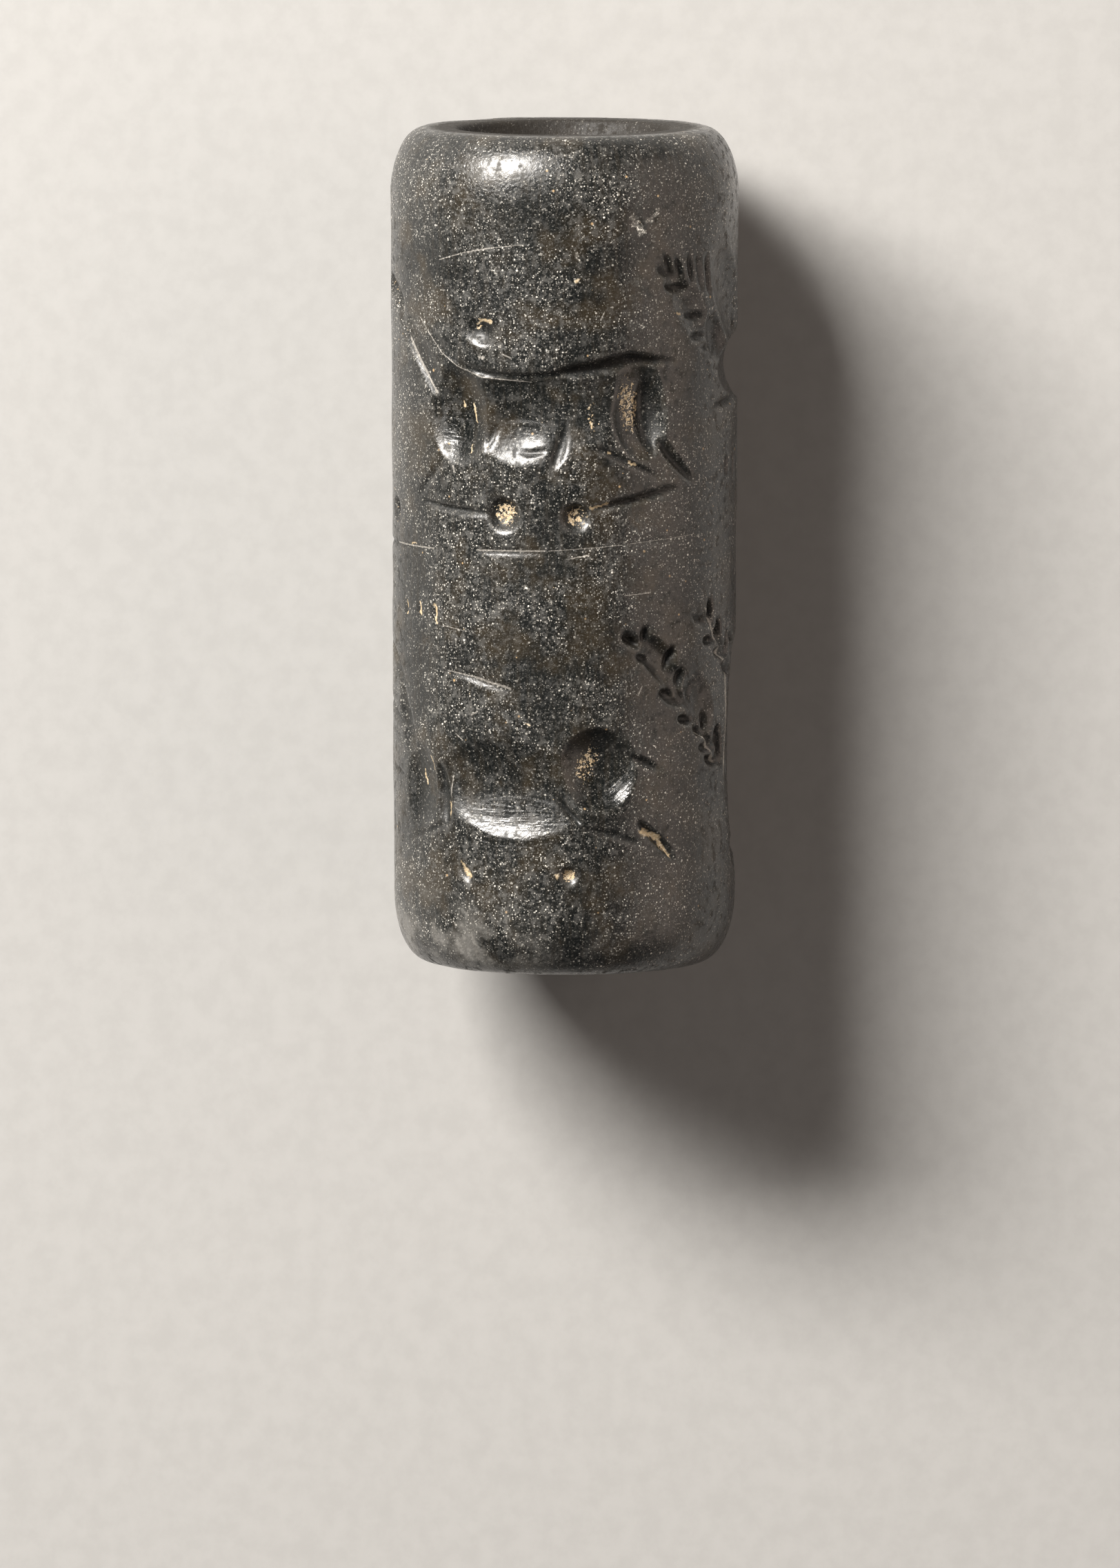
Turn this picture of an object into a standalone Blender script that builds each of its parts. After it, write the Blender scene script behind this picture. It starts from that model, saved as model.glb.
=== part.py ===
# Cylinder seal of dark stone, bored through its length and lying on its side.
# The seal's own axis runs along X with the top of the carved scene towards +X.
# The front of the scene faces +Z and a small flat spot underneath keeps it from rolling.
import math

import bmesh
import bpy
from mathutils import Matrix

MM = 0.001

# Stone blank
LENGTH = 37.6 * MM
TOP_RADIUS = 7.82 * MM
BOTTOM_RADIUS = 7.66 * MM
# The worn ends round over by this much inwards and this much along the axis.
SHOULDER_IN = 1.5 * MM
SHOULDER_ALONG = 3.0 * MM
# The bore is narrow inside and opens to a wide worn mouth at each end.
BORE_RADIUS = 3.1 * MM
MOUTH_RADIUS = 4.75 * MM
FUNNEL_LENGTH = 6.0 * MM
LIP = 0.3 * MM
# Flat spot worn underneath
FLAT_HALF_WIDTH = 1.0 * MM

# Carving depths
DEEP = 0.55 * MM
MIDDLE = 0.4 * MM
SHALLOW = 0.28 * MM
CUT = 0.24 * MM
FINE_CUT = 0.16 * MM
# The trunk's cuts reach below its trough.
TRUNK_CUT = MIDDLE + 0.16 * MM
# Cutters stand this far out of the stone.
LIFT = 0.25 * MM

# The scene is drawn on a grid of equal steps, so it keeps its proportions on any stone.
# Steps along the axis count up from the bottom end.
# Steps round the girth count to the right of the front as seen from outside.
GRID_STEPS_ALONG = 37.2
GRID_STEPS_ROUND = 48.4
# One pair of animals follows the other round the seal at this distance.
UPPER_REPEAT_STEPS = 28.0
LOWER_REPEAT_STEPS = 27.6

# Half widths of the cuts
HAIR = 0.17 * MM
LINE = 0.26 * MM
BROAD = 0.42 * MM
# Clear stone between a stem's middle and its leaves
LEAF_GAP = 0.25 * MM
# How much of its width and depth a cut keeps at its ends
THIN_END_RATIO = 0.35

# A cut is bent at least this often, in grid steps, so that it follows the round stone.
BEND_STEPS = 2.4

ROUND_STEPS = 60
SHOULDER_STEPS = 4
SIDE_STEPS = 2
FUNNEL_STEPS = 3
HOLLOW_STEPS = 10
HOLLOW_RINGS = 6

STONE_COLOUR = (0.045, 0.046, 0.036, 1.0)
STONE_ROUGHNESS = 0.28

GRID_STEP = LENGTH / GRID_STEPS_ALONG
MEAN_RADIUS = (TOP_RADIUS + BOTTOM_RADIUS) / 2
# The stone is a little thicker at the top, so its axis rises by this angle when it lies level.
LEAN = math.atan2(TOP_RADIUS - BOTTOM_RADIUS, LENGTH)
FLAT_DEPTH = MEAN_RADIUS - math.sqrt(MEAN_RADIUS**2 - FLAT_HALF_WIDTH**2)
AXIS_HEIGHT = MEAN_RADIUS * math.cos(LEAN) - FLAT_DEPTH
# From the seal's own upright frame to the pose it lies in
LYING = (
    Matrix.Translation((0.0, 0.0, AXIS_HEIGHT))
    @ Matrix.Rotation(math.pi / 2 - LEAN, 4, "Y")
    @ Matrix.Translation((0.0, 0.0, -LENGTH / 2))
)

for old in list(bpy.data.objects):
    bpy.data.objects.remove(old)

seal_parts = bpy.data.collections.new("cylinder_seal")
seal_cutters = bpy.data.collections.new("seal_cutters")
engraving = bpy.data.collections.new("engraving_cutters")
bpy.context.scene.collection.children.link(seal_parts)
bpy.context.scene.collection.children.link(seal_cutters)
seal_cutters.children.link(engraving)


def hide_cutter(obj, collection):
    """Keep a cutter out of the picture and show it as wire."""
    collection.objects.link(obj)
    obj.hide_render = True
    obj.display_type = "WIRE"


def side_radius(z):
    """Radius of the uncarved side at height z."""
    return BOTTOM_RADIUS + (TOP_RADIUS - BOTTOM_RADIUS) * z / LENGTH


def on_stone(around, along, depth):
    """Wrap a point of the drawing on to the stone, at a depth below the surface."""
    z = along * GRID_STEP
    angle = 2 * math.pi * around / GRID_STEPS_ROUND
    radius = side_radius(z) - depth
    # The front of the scene lies at the seal's own -X side, which ends up on top.
    return (-radius * math.cos(angle), -radius * math.sin(angle), z)


# Blank, turned from a closed outline
def seal_outline():
    """Outline (radius, height) from the top mouth out, down the side and back up the bore."""
    points = []
    for i in range(SHOULDER_STEPS + 1):
        turn = math.pi / 2 * (1 - i / SHOULDER_STEPS)
        points.append(
            (
                TOP_RADIUS - SHOULDER_IN * (1 - math.cos(turn)),
                LENGTH - SHOULDER_ALONG * (1 - math.sin(turn)),
            )
        )
    side = LENGTH - 2 * SHOULDER_ALONG
    for i in range(1, SIDE_STEPS):
        z = LENGTH - SHOULDER_ALONG - side * i / SIDE_STEPS
        points.append((side_radius(z), z))
    for i in range(SHOULDER_STEPS + 1):
        turn = math.pi / 2 * i / SHOULDER_STEPS
        points.append(
            (
                BOTTOM_RADIUS - SHOULDER_IN * (1 - math.cos(turn)),
                SHOULDER_ALONG * (1 - math.sin(turn)),
            )
        )
    points.append((MOUTH_RADIUS + LIP, 0.0))
    funnel = []
    for i in range(FUNNEL_STEPS + 1):
        share = i / FUNNEL_STEPS
        # The mouth narrows fast at first and then runs into the bore.
        radius = BORE_RADIUS + (MOUTH_RADIUS - BORE_RADIUS) * (1 - share) ** 2
        funnel.append((radius, LIP + (FUNNEL_LENGTH - LIP) * share))
    points += funnel
    points += [(radius, LENGTH - z) for radius, z in reversed(funnel)]
    points.append((MOUTH_RADIUS + LIP, LENGTH))
    return points


outline = seal_outline()
outline_mesh = bpy.data.meshes.new("seal_outline")
edges = [(i, (i + 1) % len(outline)) for i in range(len(outline))]
outline_mesh.from_pydata([(radius, 0.0, z) for radius, z in outline], edges, [])
seal = bpy.data.objects.new("seal", outline_mesh)
seal_parts.objects.link(seal)
seal.matrix_world = LYING
turning = seal.modifiers.new("turn the outline", "SCREW")
turning.axis = "Z"
turning.steps = ROUND_STEPS
turning.render_steps = ROUND_STEPS
turning.use_merge_vertices = True
turning.merge_threshold = 0.00001
turning.use_normal_calculate = False


# Cutters, drawn flat and then wrapped round the stone
def add_cutter(name, points, faces):
    """Make one closed cutter from wrapped points."""
    mesh = bpy.data.meshes.new(name)
    mesh.from_pydata(points, [], faces)
    bm = bmesh.new()
    bm.from_mesh(mesh)
    bmesh.ops.recalc_face_normals(bm, faces=bm.faces)
    bm.to_mesh(mesh)
    bm.free()
    cutter = bpy.data.objects.new(name, mesh)
    hide_cutter(cutter, engraving)
    cutter.matrix_world = LYING


def hollow(name, centre, half_length, half_width, depth, turn=0.0):
    """Rubbed hollow: an egg whose lower part sinks into the stone.

    The turn is in degrees from straight round the girth towards the top end.
    """
    # The egg's middle stands above the surface by a quarter of the hollow's depth.
    raised = 0.25 * depth
    half_depth = depth + raised
    # Its widest section is larger than its outline at the surface.
    widen = 1 / math.sqrt(1 - (raised / half_depth) ** 2)
    bm = bmesh.new()
    bmesh.ops.create_uvsphere(bm, u_segments=HOLLOW_STEPS, v_segments=HOLLOW_RINGS, radius=1.0)
    cosine = math.cos(math.radians(turn))
    sine = math.sin(math.radians(turn))
    for vert in bm.verts:
        lengthwise = vert.co.x * half_length * widen
        crosswise = vert.co.y * half_width * widen
        vert.co = on_stone(
            centre[0] + lengthwise * cosine - crosswise * sine,
            centre[1] + lengthwise * sine + crosswise * cosine,
            -raised - vert.co.z * half_depth,
        )
    bm.verts.index_update()
    points = [tuple(vert.co) for vert in bm.verts]
    faces = [[vert.index for vert in face.verts] for face in bm.faces]
    bm.free()
    add_cutter(name, points, faces)


def ball(name, centre, half_width, depth):
    """Round hole left by a ball-headed drill."""
    hollow(name, centre, half_width, half_width, depth)


def between(start, end, share):
    """Point part of the way from one point of the drawing to another."""
    return tuple(a + (b - a) * share for a, b in zip(start, end))


def bent(path):
    """Path with points added wherever a straight run would leave the round stone."""
    points = [path[0]]
    for start, end in zip(path, path[1:]):
        pieces = math.ceil(abs(end[0] - start[0]) / BEND_STEPS) or 1
        points += [between(start, end, (i + 1) / pieces) for i in range(pieces)]
    return points


def groove(name, path, half_width, depth):
    """V-shaped cut along a path, thinning out at both ends."""
    path = bent(path)
    last = len(path) - 1
    points = []
    for i, (around, along) in enumerate(path):
        before = path[max(i - 1, 0)]
        after = path[min(i + 1, last)]
        run = math.hypot(after[0] - before[0], after[1] - before[1])
        side = ((before[1] - after[1]) / run, (after[0] - before[0]) / run)
        strength = THIN_END_RATIO if i in (0, last) else 1.0
        # The walls keep their slope up to the cutter's top, which stands out of the stone.
        top_width = half_width / GRID_STEP * strength * (1 + LIFT / (depth * strength))
        for sign in (1, -1):
            points.append(
                on_stone(
                    around + sign * side[0] * top_width,
                    along + sign * side[1] * top_width,
                    -LIFT,
                )
            )
        points.append(on_stone(around, along, depth * strength))
    faces = [(0, 1, 2), (3 * last + 2, 3 * last + 1, 3 * last)]
    for i in range(last):
        here = 3 * i
        there = here + 3
        for j in range(3):
            k = (j + 1) % 3
            faces.append((here + j, there + j, there + k, here + k))
    add_cutter(name, points, faces)


def stroke(name, start, end, half_width=HAIR, depth=FINE_CUT):
    """Single touch of the wheel, widest in the middle."""
    groove(name, [start, between(start, end, 0.5), end], half_width, depth)


def strokes(name, count, first, last, half_width=HAIR, depth=FINE_CUT):
    """Row of touches that changes evenly from the first stroke to the last."""
    for i in range(count):
        share = i / (count - 1)
        start = between(first[0], last[0], share)
        end = between(first[1], last[1], share)
        stroke(f"{name}_{i + 1}", start, end, half_width, depth)


def moved(points, shift):
    """Path repeated further round the seal."""
    return [(around + shift, along) for around, along in points]


# Goat of the upper register, lying with its legs folded and its head to the left
def upper_goat(name, shift, head):
    """Carve one goat; the second one's head has worn away."""
    def at(around, along):
        return (around + shift, along)

    hollow(f"{name}_chest", at(-5.6, 24.6), 1.35, 2.1, DEEP)
    hollow(f"{name}_body", at(-0.9, 24.8), 3.2, 1.85, MIDDLE, 2.0)
    hollow(f"{name}_haunch", at(3.7, 25.4), 1.5, 2.5, DEEP)
    hollow(f"{name}_neck", at(-7.2, 27.3), 2.3, 0.75, MIDDLE, 128.0)
    back = [(-7.3, 29.2), (-6.0, 27.8), (-4.5, 26.9), (-2.0, 26.6), (1.0, 26.9), (3.0, 27.4), (5.2, 27.2)]
    groove(f"{name}_back", moved(back, shift), LINE, CUT)
    stroke(f"{name}_flank", at(1.2, 25.4), at(1.6, 23.8), HAIR, CUT)
    stroke(f"{name}_thigh", at(4.0, 24.2), at(6.4, 21.8), BROAD, CUT)
    groove(f"{name}_hind_leg", moved([(1.0, 23.6), (2.8, 23.0), (4.6, 22.1)], shift), LINE, CUT)
    groove(f"{name}_hind_foot", moved([(5.4, 21.7), (3.2, 21.2), (1.1, 20.7)], shift), LINE, CUT)
    stroke(f"{name}_foreleg", at(-5.9, 23.2), at(-8.0, 21.2), LINE, CUT)
    groove(f"{name}_fore_foot", moved([(-8.0, 21.2), (-6.0, 20.8), (-3.6, 20.7)], shift), LINE, CUT)
    ball(f"{name}_hoof", at(0.4, 20.5), 0.6, MIDDLE)
    if not head:
        return
    groove(f"{name}_throat", moved([(-9.8, 29.3), (-8.2, 27.8), (-6.1, 25.7)], shift), LINE, CUT)
    hollow(f"{name}_head", at(-9.6, 29.7), 1.0, 0.55, MIDDLE, 160.0)
    ball(f"{name}_muzzle", at(-10.9, 30.2), 0.5, MIDDLE)
    horn = [(-10.2, 30.7), (-8.4, 31.3), (-6.0, 31.8), (-3.2, 32.3)]
    groove(f"{name}_horn", moved(horn, shift), HAIR, CUT)
    stroke(f"{name}_ear", at(-8.7, 29.0), at(-7.7, 28.9), HAIR, CUT)
    ball(f"{name}_fore_hoof", at(-2.8, 20.6), 0.7, MIDDLE)
    hollow(f"{name}_pit", at(-3.9, 28.6), 0.72, 0.5, MIDDLE, -20.0)
    ball(f"{name}_front_ball", at(-10.2, 20.4), 0.5, MIDDLE)


# Goat of the lower register, standing over the plants' feet with its head low
def lower_goat(name, shift, head):
    """Carve one goat; the second one's head runs into the plants."""
    def at(around, along):
        return (around + shift, along)

    hollow(f"{name}_shoulder", at(-7.6, 8.5), 1.3, 2.1, DEEP)
    hollow(f"{name}_body", at(-2.7, 8.2), 3.0, 1.85, MIDDLE, 1.0)
    hollow(f"{name}_haunch", at(1.5, 9.3), 1.55, 1.7, DEEP)
    hollow(f"{name}_leg_hollow", at(-6.2, 7.9), 0.45, 1.5, MIDDLE, 12.0)
    groove(f"{name}_foreleg", moved([(-8.3, 5.7), (-7.0, 6.2), (-5.4, 6.9)], shift), LINE, CUT)
    groove(f"{name}_belly", moved([(0.6, 6.8), (3.0, 6.1), (5.2, 4.9)], shift), LINE, CUT)
    groove(f"{name}_neck_line", moved([(-8.8, 12.4), (-7.5, 11.4), (-5.8, 10.3)], shift), LINE, CUT)
    stroke(f"{name}_tail", at(2.8, 9.9), at(4.4, 9.2), LINE, CUT)
    stroke(f"{name}_hind_leg", at(1.8, 8.0), at(5.3, 5.1), BROAD, CUT)
    stroke(f"{name}_thigh", at(-0.5, 8.2), at(0.6, 6.9), HAIR, CUT)
    stroke(f"{name}_fore_foot", at(-8.8, 4.7), at(-5.2, 4.6), LINE, CUT)
    ball(f"{name}_hoof", at(-1.6, 4.6), 0.45, MIDDLE)
    if not head:
        ball(f"{name}_fore_hoof", at(-4.9, 4.6), 0.5, MIDDLE)
        return
    hollow(f"{name}_neck", at(-8.9, 10.9), 1.5, 0.65, MIDDLE, 115.0)
    jaw = [(-9.2, 10.7), (-10.9, 11.3), (-12.4, 11.8), (-13.9, 12.0)]
    groove(f"{name}_jaw", moved(jaw, shift), LINE, CUT)
    ball(f"{name}_muzzle", at(-14.1, 12.0), 0.45, MIDDLE)
    horn = [(-9.0, 11.6), (-9.4, 12.8), (-10.3, 13.8), (-12.1, 14.4)]
    groove(f"{name}_horn", moved(horn, shift), LINE, CUT)
    hollow(f"{name}_foot_pit", at(-4.7, 4.55), 0.55, 0.26, MIDDLE, -53.0)
    groove(f"{name}_cut_above", moved([(-6.0, 13.5), (-4.0, 13.2), (-2.1, 12.7)], shift), LINE, CUT)


# Eagle with spread wings, seen from the front
def eagle():
    """Carve the body, both feathered wings, the claws and the fan of the tail."""
    ball("eagle_head", (13.9, 31.3), 0.75, MIDDLE)
    hollow("eagle_body", (13.5, 27.9), 1.3, 2.7, DEEP)
    hollow("eagle_shoulder", (12.0, 26.7), 3.5, 1.4, DEEP)
    hollow("eagle_left_wing", (9.9, 29.5), 3.4, 1.5, MIDDLE, 127.0)
    hollow("eagle_right_wing", (17.3, 29.4), 2.9, 1.1, SHALLOW, 50.0)
    strokes("left_wing_tip", 6, ((4.1, 30.9), (5.1, 30.8)), ((8.0, 26.8), (9.9, 27.1)), HAIR, CUT)
    strokes("left_wing_top", 5, ((4.7, 32.1), (5.2, 30.9)), ((8.0, 31.9), (8.2, 29.9)), HAIR, CUT)
    strokes("left_wing_inner", 3, ((10.3, 29.6), (10.8, 28.1)), ((12.0, 28.6), (12.2, 26.8)), HAIR, CUT)
    strokes("right_wing_tip", 6, ((20.1, 31.1), (22.0, 31.0)), ((16.9, 27.1), (18.1, 26.6)), HAIR, CUT)
    strokes("right_wing_top", 4, ((16.7, 30.4), (16.9, 29.1)), ((19.6, 31.6), (19.6, 30.4)), HAIR, CUT)
    groove("eagle_left_leg", [(8.1, 25.1), (10.0, 25.2), (12.6, 25.7)], LINE, CUT)
    groove("eagle_right_leg", [(13.6, 26.2), (15.0, 25.8), (17.2, 25.5)], LINE, CUT)
    hollow("eagle_rump", (13.0, 24.8), 1.0, 1.0, SHALLOW)
    strokes("tail_left", 4, ((9.3, 22.9), (9.2, 21.9)), ((12.6, 23.7), (13.4, 20.9)), HAIR, CUT)
    strokes("tail_right", 3, ((14.0, 23.9), (15.0, 20.5)), ((15.6, 23.9), (16.7, 21.3)), HAIR, CUT)
    groove("tail_edge", [(15.0, 24.6), (16.8, 23.4), (18.2, 22.0)], BROAD, CUT)


# Plants: each is a stem with leaves set along it like a fish bone
def plant(name, foot, tip, pairs, leaf, left_turn, right_turn, depth):
    """Carve a stem from foot to tip with pairs of leaves.

    The turns are in degrees from straight round the girth towards the top end.
    """
    groove(f"{name}_stem", [foot, between(foot, tip, 0.5), tip], LINE, depth)
    for i in range(pairs):
        joint = between(foot, tip, (i + 0.5) / pairs)
        for side, turn in (("left", left_turn), ("right", right_turn)):
            angle = math.radians(turn)
            # Each leaf starts a little way out from the stem.
            reach = (math.cos(angle), math.sin(angle))
            gap = LEAF_GAP / GRID_STEP
            start = (joint[0] + reach[0] * gap, joint[1] + reach[1] * gap)
            end = (joint[0] + reach[0] * leaf, joint[1] + reach[1] * leaf)
            stroke(f"{name}_{side}_leaf_{i + 1}", start, end, HAIR, depth)


upper_goat("upper_goat_1", 0.0, True)
upper_goat("upper_goat_2", UPPER_REPEAT_STEPS, False)
lower_goat("lower_goat_1", 0.0, True)
lower_goat("lower_goat_2", LOWER_REPEAT_STEPS, False)
eagle()
plant("low_branch", (9.0, 8.8), (3.3, 15.0), 7, 1.2, 178.0, 78.0, CUT)
plant("high_branch", (10.6, 12.7), (7.3, 15.9), 3, 1.2, 178.0, 78.0, CUT)
hollow("trunk_trough", (11.8, 9.3), 5.2, 2.3, MIDDLE, 90.0)
plant("trunk", (11.4, 4.6), (11.3, 13.9), 9, 1.5, 142.0, 15.0, TRUNK_CUT)
plant("low_sprig", (13.9, 8.4), (18.9, 14.7), 7, 1.2, 108.0, -15.0, FINE_CUT)
plant("high_sprig", (13.5, 12.6), (16.4, 15.3), 3, 1.2, 108.0, -8.0, FINE_CUT)
stroke("trunk_foot", (11.2, 4.3), (13.1, 4.9), LINE, CUT)

# Line between the registers, cut in touches that don't meet
groove("line_front", [(-14.4, 18.7), (-10.0, 18.9), (-6.0, 18.9)], HAIR, FINE_CUT)
stroke("line_middle", (-3.9, 18.9), (-0.9, 19.0))
groove("line_right", [(0.1, 19.0), (3.0, 19.3), (6.0, 19.5)], HAIR, FINE_CUT)
groove("line_back", [(17.0, 19.0), (20.0, 19.0), (23.2, 19.1)], HAIR, FINE_CUT)

carving = seal.modifiers.new("engraving", "BOOLEAN")
carving.operation = "DIFFERENCE"
carving.operand_type = "COLLECTION"
carving.collection = engraving
carving.solver = "EXACT"

# Block below the table's level that cuts the flat spot
block_size = 2 * LENGTH
bm = bmesh.new()
bmesh.ops.create_cube(bm, size=block_size)
block_mesh = bpy.data.meshes.new("flat_spot_cutter")
bm.to_mesh(block_mesh)
bm.free()
block = bpy.data.objects.new("flat_spot_cutter", block_mesh)
block.location = (0.0, 0.0, -block_size / 2)
hide_cutter(block, seal_cutters)
flattening = seal.modifiers.new("flat spot", "BOOLEAN")
flattening.operation = "DIFFERENCE"
flattening.object = block
flattening.solver = "EXACT"

# Material
stone = bpy.data.materials.new("dark_stone")
stone.use_nodes = True
surface = stone.node_tree.nodes["Principled BSDF"]
surface.inputs["Base Color"].default_value = STONE_COLOUR
surface.inputs["Roughness"].default_value = STONE_ROUGHNESS
surface.inputs["Metallic"].default_value = 0.0
outline_mesh.materials.append(stone)
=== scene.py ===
# %% [markdown]
# # A cylinder seal of dark polished stone
# The real seal is a small bored stone with a picture carved all round it. The picture could
# be sculpted on the round stone, but here it is drawn flat, as a height map on a grid that
# counts steps round the stone and steps along it, because a place on a flat drawing is easy
# to read off and to change. Geometry Nodes then wrap the flat sheet round the stone, and a
# procedural material makes it dark, speckled and polished.

# %% Load the frame
import math

import bmesh
import bpy
import numpy as np
from mathutils import Matrix, Vector


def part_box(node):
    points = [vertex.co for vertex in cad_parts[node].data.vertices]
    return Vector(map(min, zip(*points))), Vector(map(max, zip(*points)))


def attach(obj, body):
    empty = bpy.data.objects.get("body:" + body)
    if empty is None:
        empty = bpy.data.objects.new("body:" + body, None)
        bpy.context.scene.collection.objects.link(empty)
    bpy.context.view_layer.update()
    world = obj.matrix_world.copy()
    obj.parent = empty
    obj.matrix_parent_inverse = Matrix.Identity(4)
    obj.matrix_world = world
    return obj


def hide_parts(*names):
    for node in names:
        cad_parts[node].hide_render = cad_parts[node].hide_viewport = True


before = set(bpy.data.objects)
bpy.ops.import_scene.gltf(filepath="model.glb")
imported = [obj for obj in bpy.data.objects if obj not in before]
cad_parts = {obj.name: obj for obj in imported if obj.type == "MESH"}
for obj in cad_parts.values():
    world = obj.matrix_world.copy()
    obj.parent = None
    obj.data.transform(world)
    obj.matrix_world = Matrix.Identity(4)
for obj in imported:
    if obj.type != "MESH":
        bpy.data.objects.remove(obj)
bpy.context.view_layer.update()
low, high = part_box("seal")
print("The packed seal spans, in mm:", [round(1000 * (b - a), 2) for a, b in zip(low, high)])

# %% [markdown]
# ## Sizes
# Lengths are in millimetres while the stone is worked out and in metres once it is a mesh.
# The drawing grid has 37.2 steps along the axis and 48.4 steps round the girth. Step 0 round
# the stone is its front, which lies uppermost, and step 0 along it is the bottom end.

# %% Sizes of the stone
MM = 0.001
LENGTH = 37.6
TOP_RADIUS = 7.82
BOTTOM_RADIUS = 7.66
SHOULDER_IN = 1.5
SHOULDER_ALONG = 3.0
BORE_RADIUS = 3.1
MOUTH_RADIUS = 4.75
FUNNEL_LENGTH = 6.0
LIP = 0.3
FLAT_HALF_WIDTH = 1.0
STEPS_ALONG = 37.2
STEPS_ROUND = 48.4
STEP = LENGTH / STEPS_ALONG
# The stone is a little thicker at the top, so its axis leans when it lies on the table.
MEAN_RADIUS = (TOP_RADIUS + BOTTOM_RADIUS) / 2
LEAN = math.atan2(TOP_RADIUS - BOTTOM_RADIUS, LENGTH)
FLAT_DEPTH = MEAN_RADIUS - math.sqrt(MEAN_RADIUS**2 - FLAT_HALF_WIDTH**2)
AXIS_HEIGHT = MEAN_RADIUS * math.cos(LEAN) - FLAT_DEPTH
SEED = 11
rng = np.random.default_rng(SEED)
print("One step is", round(STEP, 3), "mm and the axis lies", round(AXIS_HEIGHT, 2), "mm above the table")

# %% [markdown]
# ## The height map
# The carver rubbed hollows into the stone, drilled balls and cut fine lines, so the map has
# one tool for each. `depth` says how deep the stone is cut at each point of the drawing, in
# millimetres. Each tool lowers the map inside its own small window. Where two cuts meet, the
# deeper one wins, and the map joins up with itself round the back of the stone. Three more
# maps say where soil is lodged, where tool marks show and round which point they curve.

# %% Empty maps and a window on them
CELL = 0.05
ROUND_CELLS = int(round(STEPS_ROUND / CELL))
ALONG_CELLS = int(round(STEPS_ALONG / CELL))
depth = np.zeros((ALONG_CELLS, ROUND_CELLS))
soil = np.zeros_like(depth)
tooled = np.zeros_like(depth)
rings = np.zeros_like(depth)


def window(points, reach):
    """Grid positions (around, along) near some points, and their places in the map."""
    points = np.array(points, float)
    first = np.floor((points.min(axis=0) - reach) / CELL).astype(int)
    last = np.ceil((points.max(axis=0) + reach) / CELL).astype(int)
    columns = np.arange(first[0], last[0] + 1)
    rows = np.arange(max(first[1], 0), min(last[1], ALONG_CELLS - 1) + 1)
    around, along = np.meshgrid(columns * CELL, rows * CELL)
    return around, along, np.ix_(rows, columns % ROUND_CELLS)


def oval(centre, half_length, half_width, turn=0.0):
    """Window round a turned oval. Its last value is 1 in the middle and 0 at the rim."""
    around, along, place = window([centre], max(half_length, half_width) + CELL)
    cosine, sine = math.cos(math.radians(turn)), math.sin(math.radians(turn))
    u = ((around - centre[0]) * cosine + (along - centre[1]) * sine) / half_length
    v = (-(around - centre[0]) * sine + (along - centre[1]) * cosine) / half_width
    return around, along, place, 1 - u**2 - v**2


def deepen(field, place, value):
    """Keep the larger of the map and a new cut."""
    field[place] = np.maximum(field[place], value)


print("The map has", ROUND_CELLS, "by", ALONG_CELLS, "cells")

# %% Tools that rub and drill
CRISP_EDGE = 0.2
DUST_FILL = 1.3
DUST_SHARE = 0.85


def hollow(centre, half_length, half_width, deep, turn=0.0, power=0.7, under=None):
    """Rubbed hollow that fades at its rim where the power is high.

    Under is a path that cuts its upper side off crisply.
    """
    around, along, place, inside = oval(centre, half_length, half_width, turn)
    value = deep * np.clip(inside, 0, None) ** power
    if under:
        path = np.array(under)
        below = np.interp(around, path[:, 0], path[:, 1]) - along
        value = value * np.clip(below / CRISP_EDGE, 0, 1)
    deepen(depth, place, value)


def ribs(centre, half_length, half_width, rings_from, amount=1.0):
    """Fine tool marks inside a hollow, curved round a point."""
    around, along, place, inside = oval(centre, half_length, half_width)
    deepen(tooled, place, np.minimum(1, 2 * np.clip(inside, 0, None)) * amount)
    distance = np.hypot(around - rings_from[0], along - rings_from[1])
    rings[place] = np.where(inside > 0, distance, rings[place])


def dust(centre, half_length, half_width, amount, turn=0.0):
    """Soil lodged in a patch of the surface."""
    around, along, place, inside = oval(centre, half_length, half_width, turn)
    deepen(soil, place, amount * np.clip(DUST_FILL * inside, 0, 1))


def ball(centre, half_width, deep, dirt=0.0):
    """Round hole left by a ball-headed drill, with soil in the bottom if asked."""
    hollow(centre, half_width, half_width, deep, power=0.5)
    if dirt:
        dust(centre, half_width * DUST_SHARE, half_width * DUST_SHARE, dirt)


# %% Tools that cut along a path
TAPER = 0.6
UNEVEN_DEPTHS = (0.6, 1.2)


def cut(path, half_width, deep, thin=0.3, power=1.0):
    """Cut along a path. At both ends it is thinner and shallower by the factor thin."""
    path = np.array(path, float)
    around, along, place = window(path, half_width * 1.5 + CELL)
    lengths = np.linalg.norm(np.diff(path, axis=0), axis=1)
    total = lengths.sum()
    nearest = np.full(around.shape, np.inf)
    where = np.zeros_like(nearest)
    passed = 0.0
    for start, run, length in zip(path[:-1], np.diff(path, axis=0), lengths):
        share = ((around - start[0]) * run[0] + (along - start[1]) * run[1]) / length**2
        share = np.clip(share, 0, 1)
        distance = np.hypot(around - start[0] - share * run[0], along - start[1] - share * run[1])
        closer = distance < nearest
        nearest = np.where(closer, distance, nearest)
        where = np.where(closer, (passed + share * length) / total, where)
        passed += length
    strength = thin + (1 - thin) * np.clip(4 * where * (1 - where), 0, 1) ** TAPER
    inside = np.clip(1 - (nearest / (half_width * strength)) ** 2, 0, None)
    deepen(depth, place, deep * strength * inside**power)


def between(start, end, share):
    """Point part of the way from one point to another."""
    return tuple(a + (b - a) * share for a, b in zip(start, end))


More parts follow.
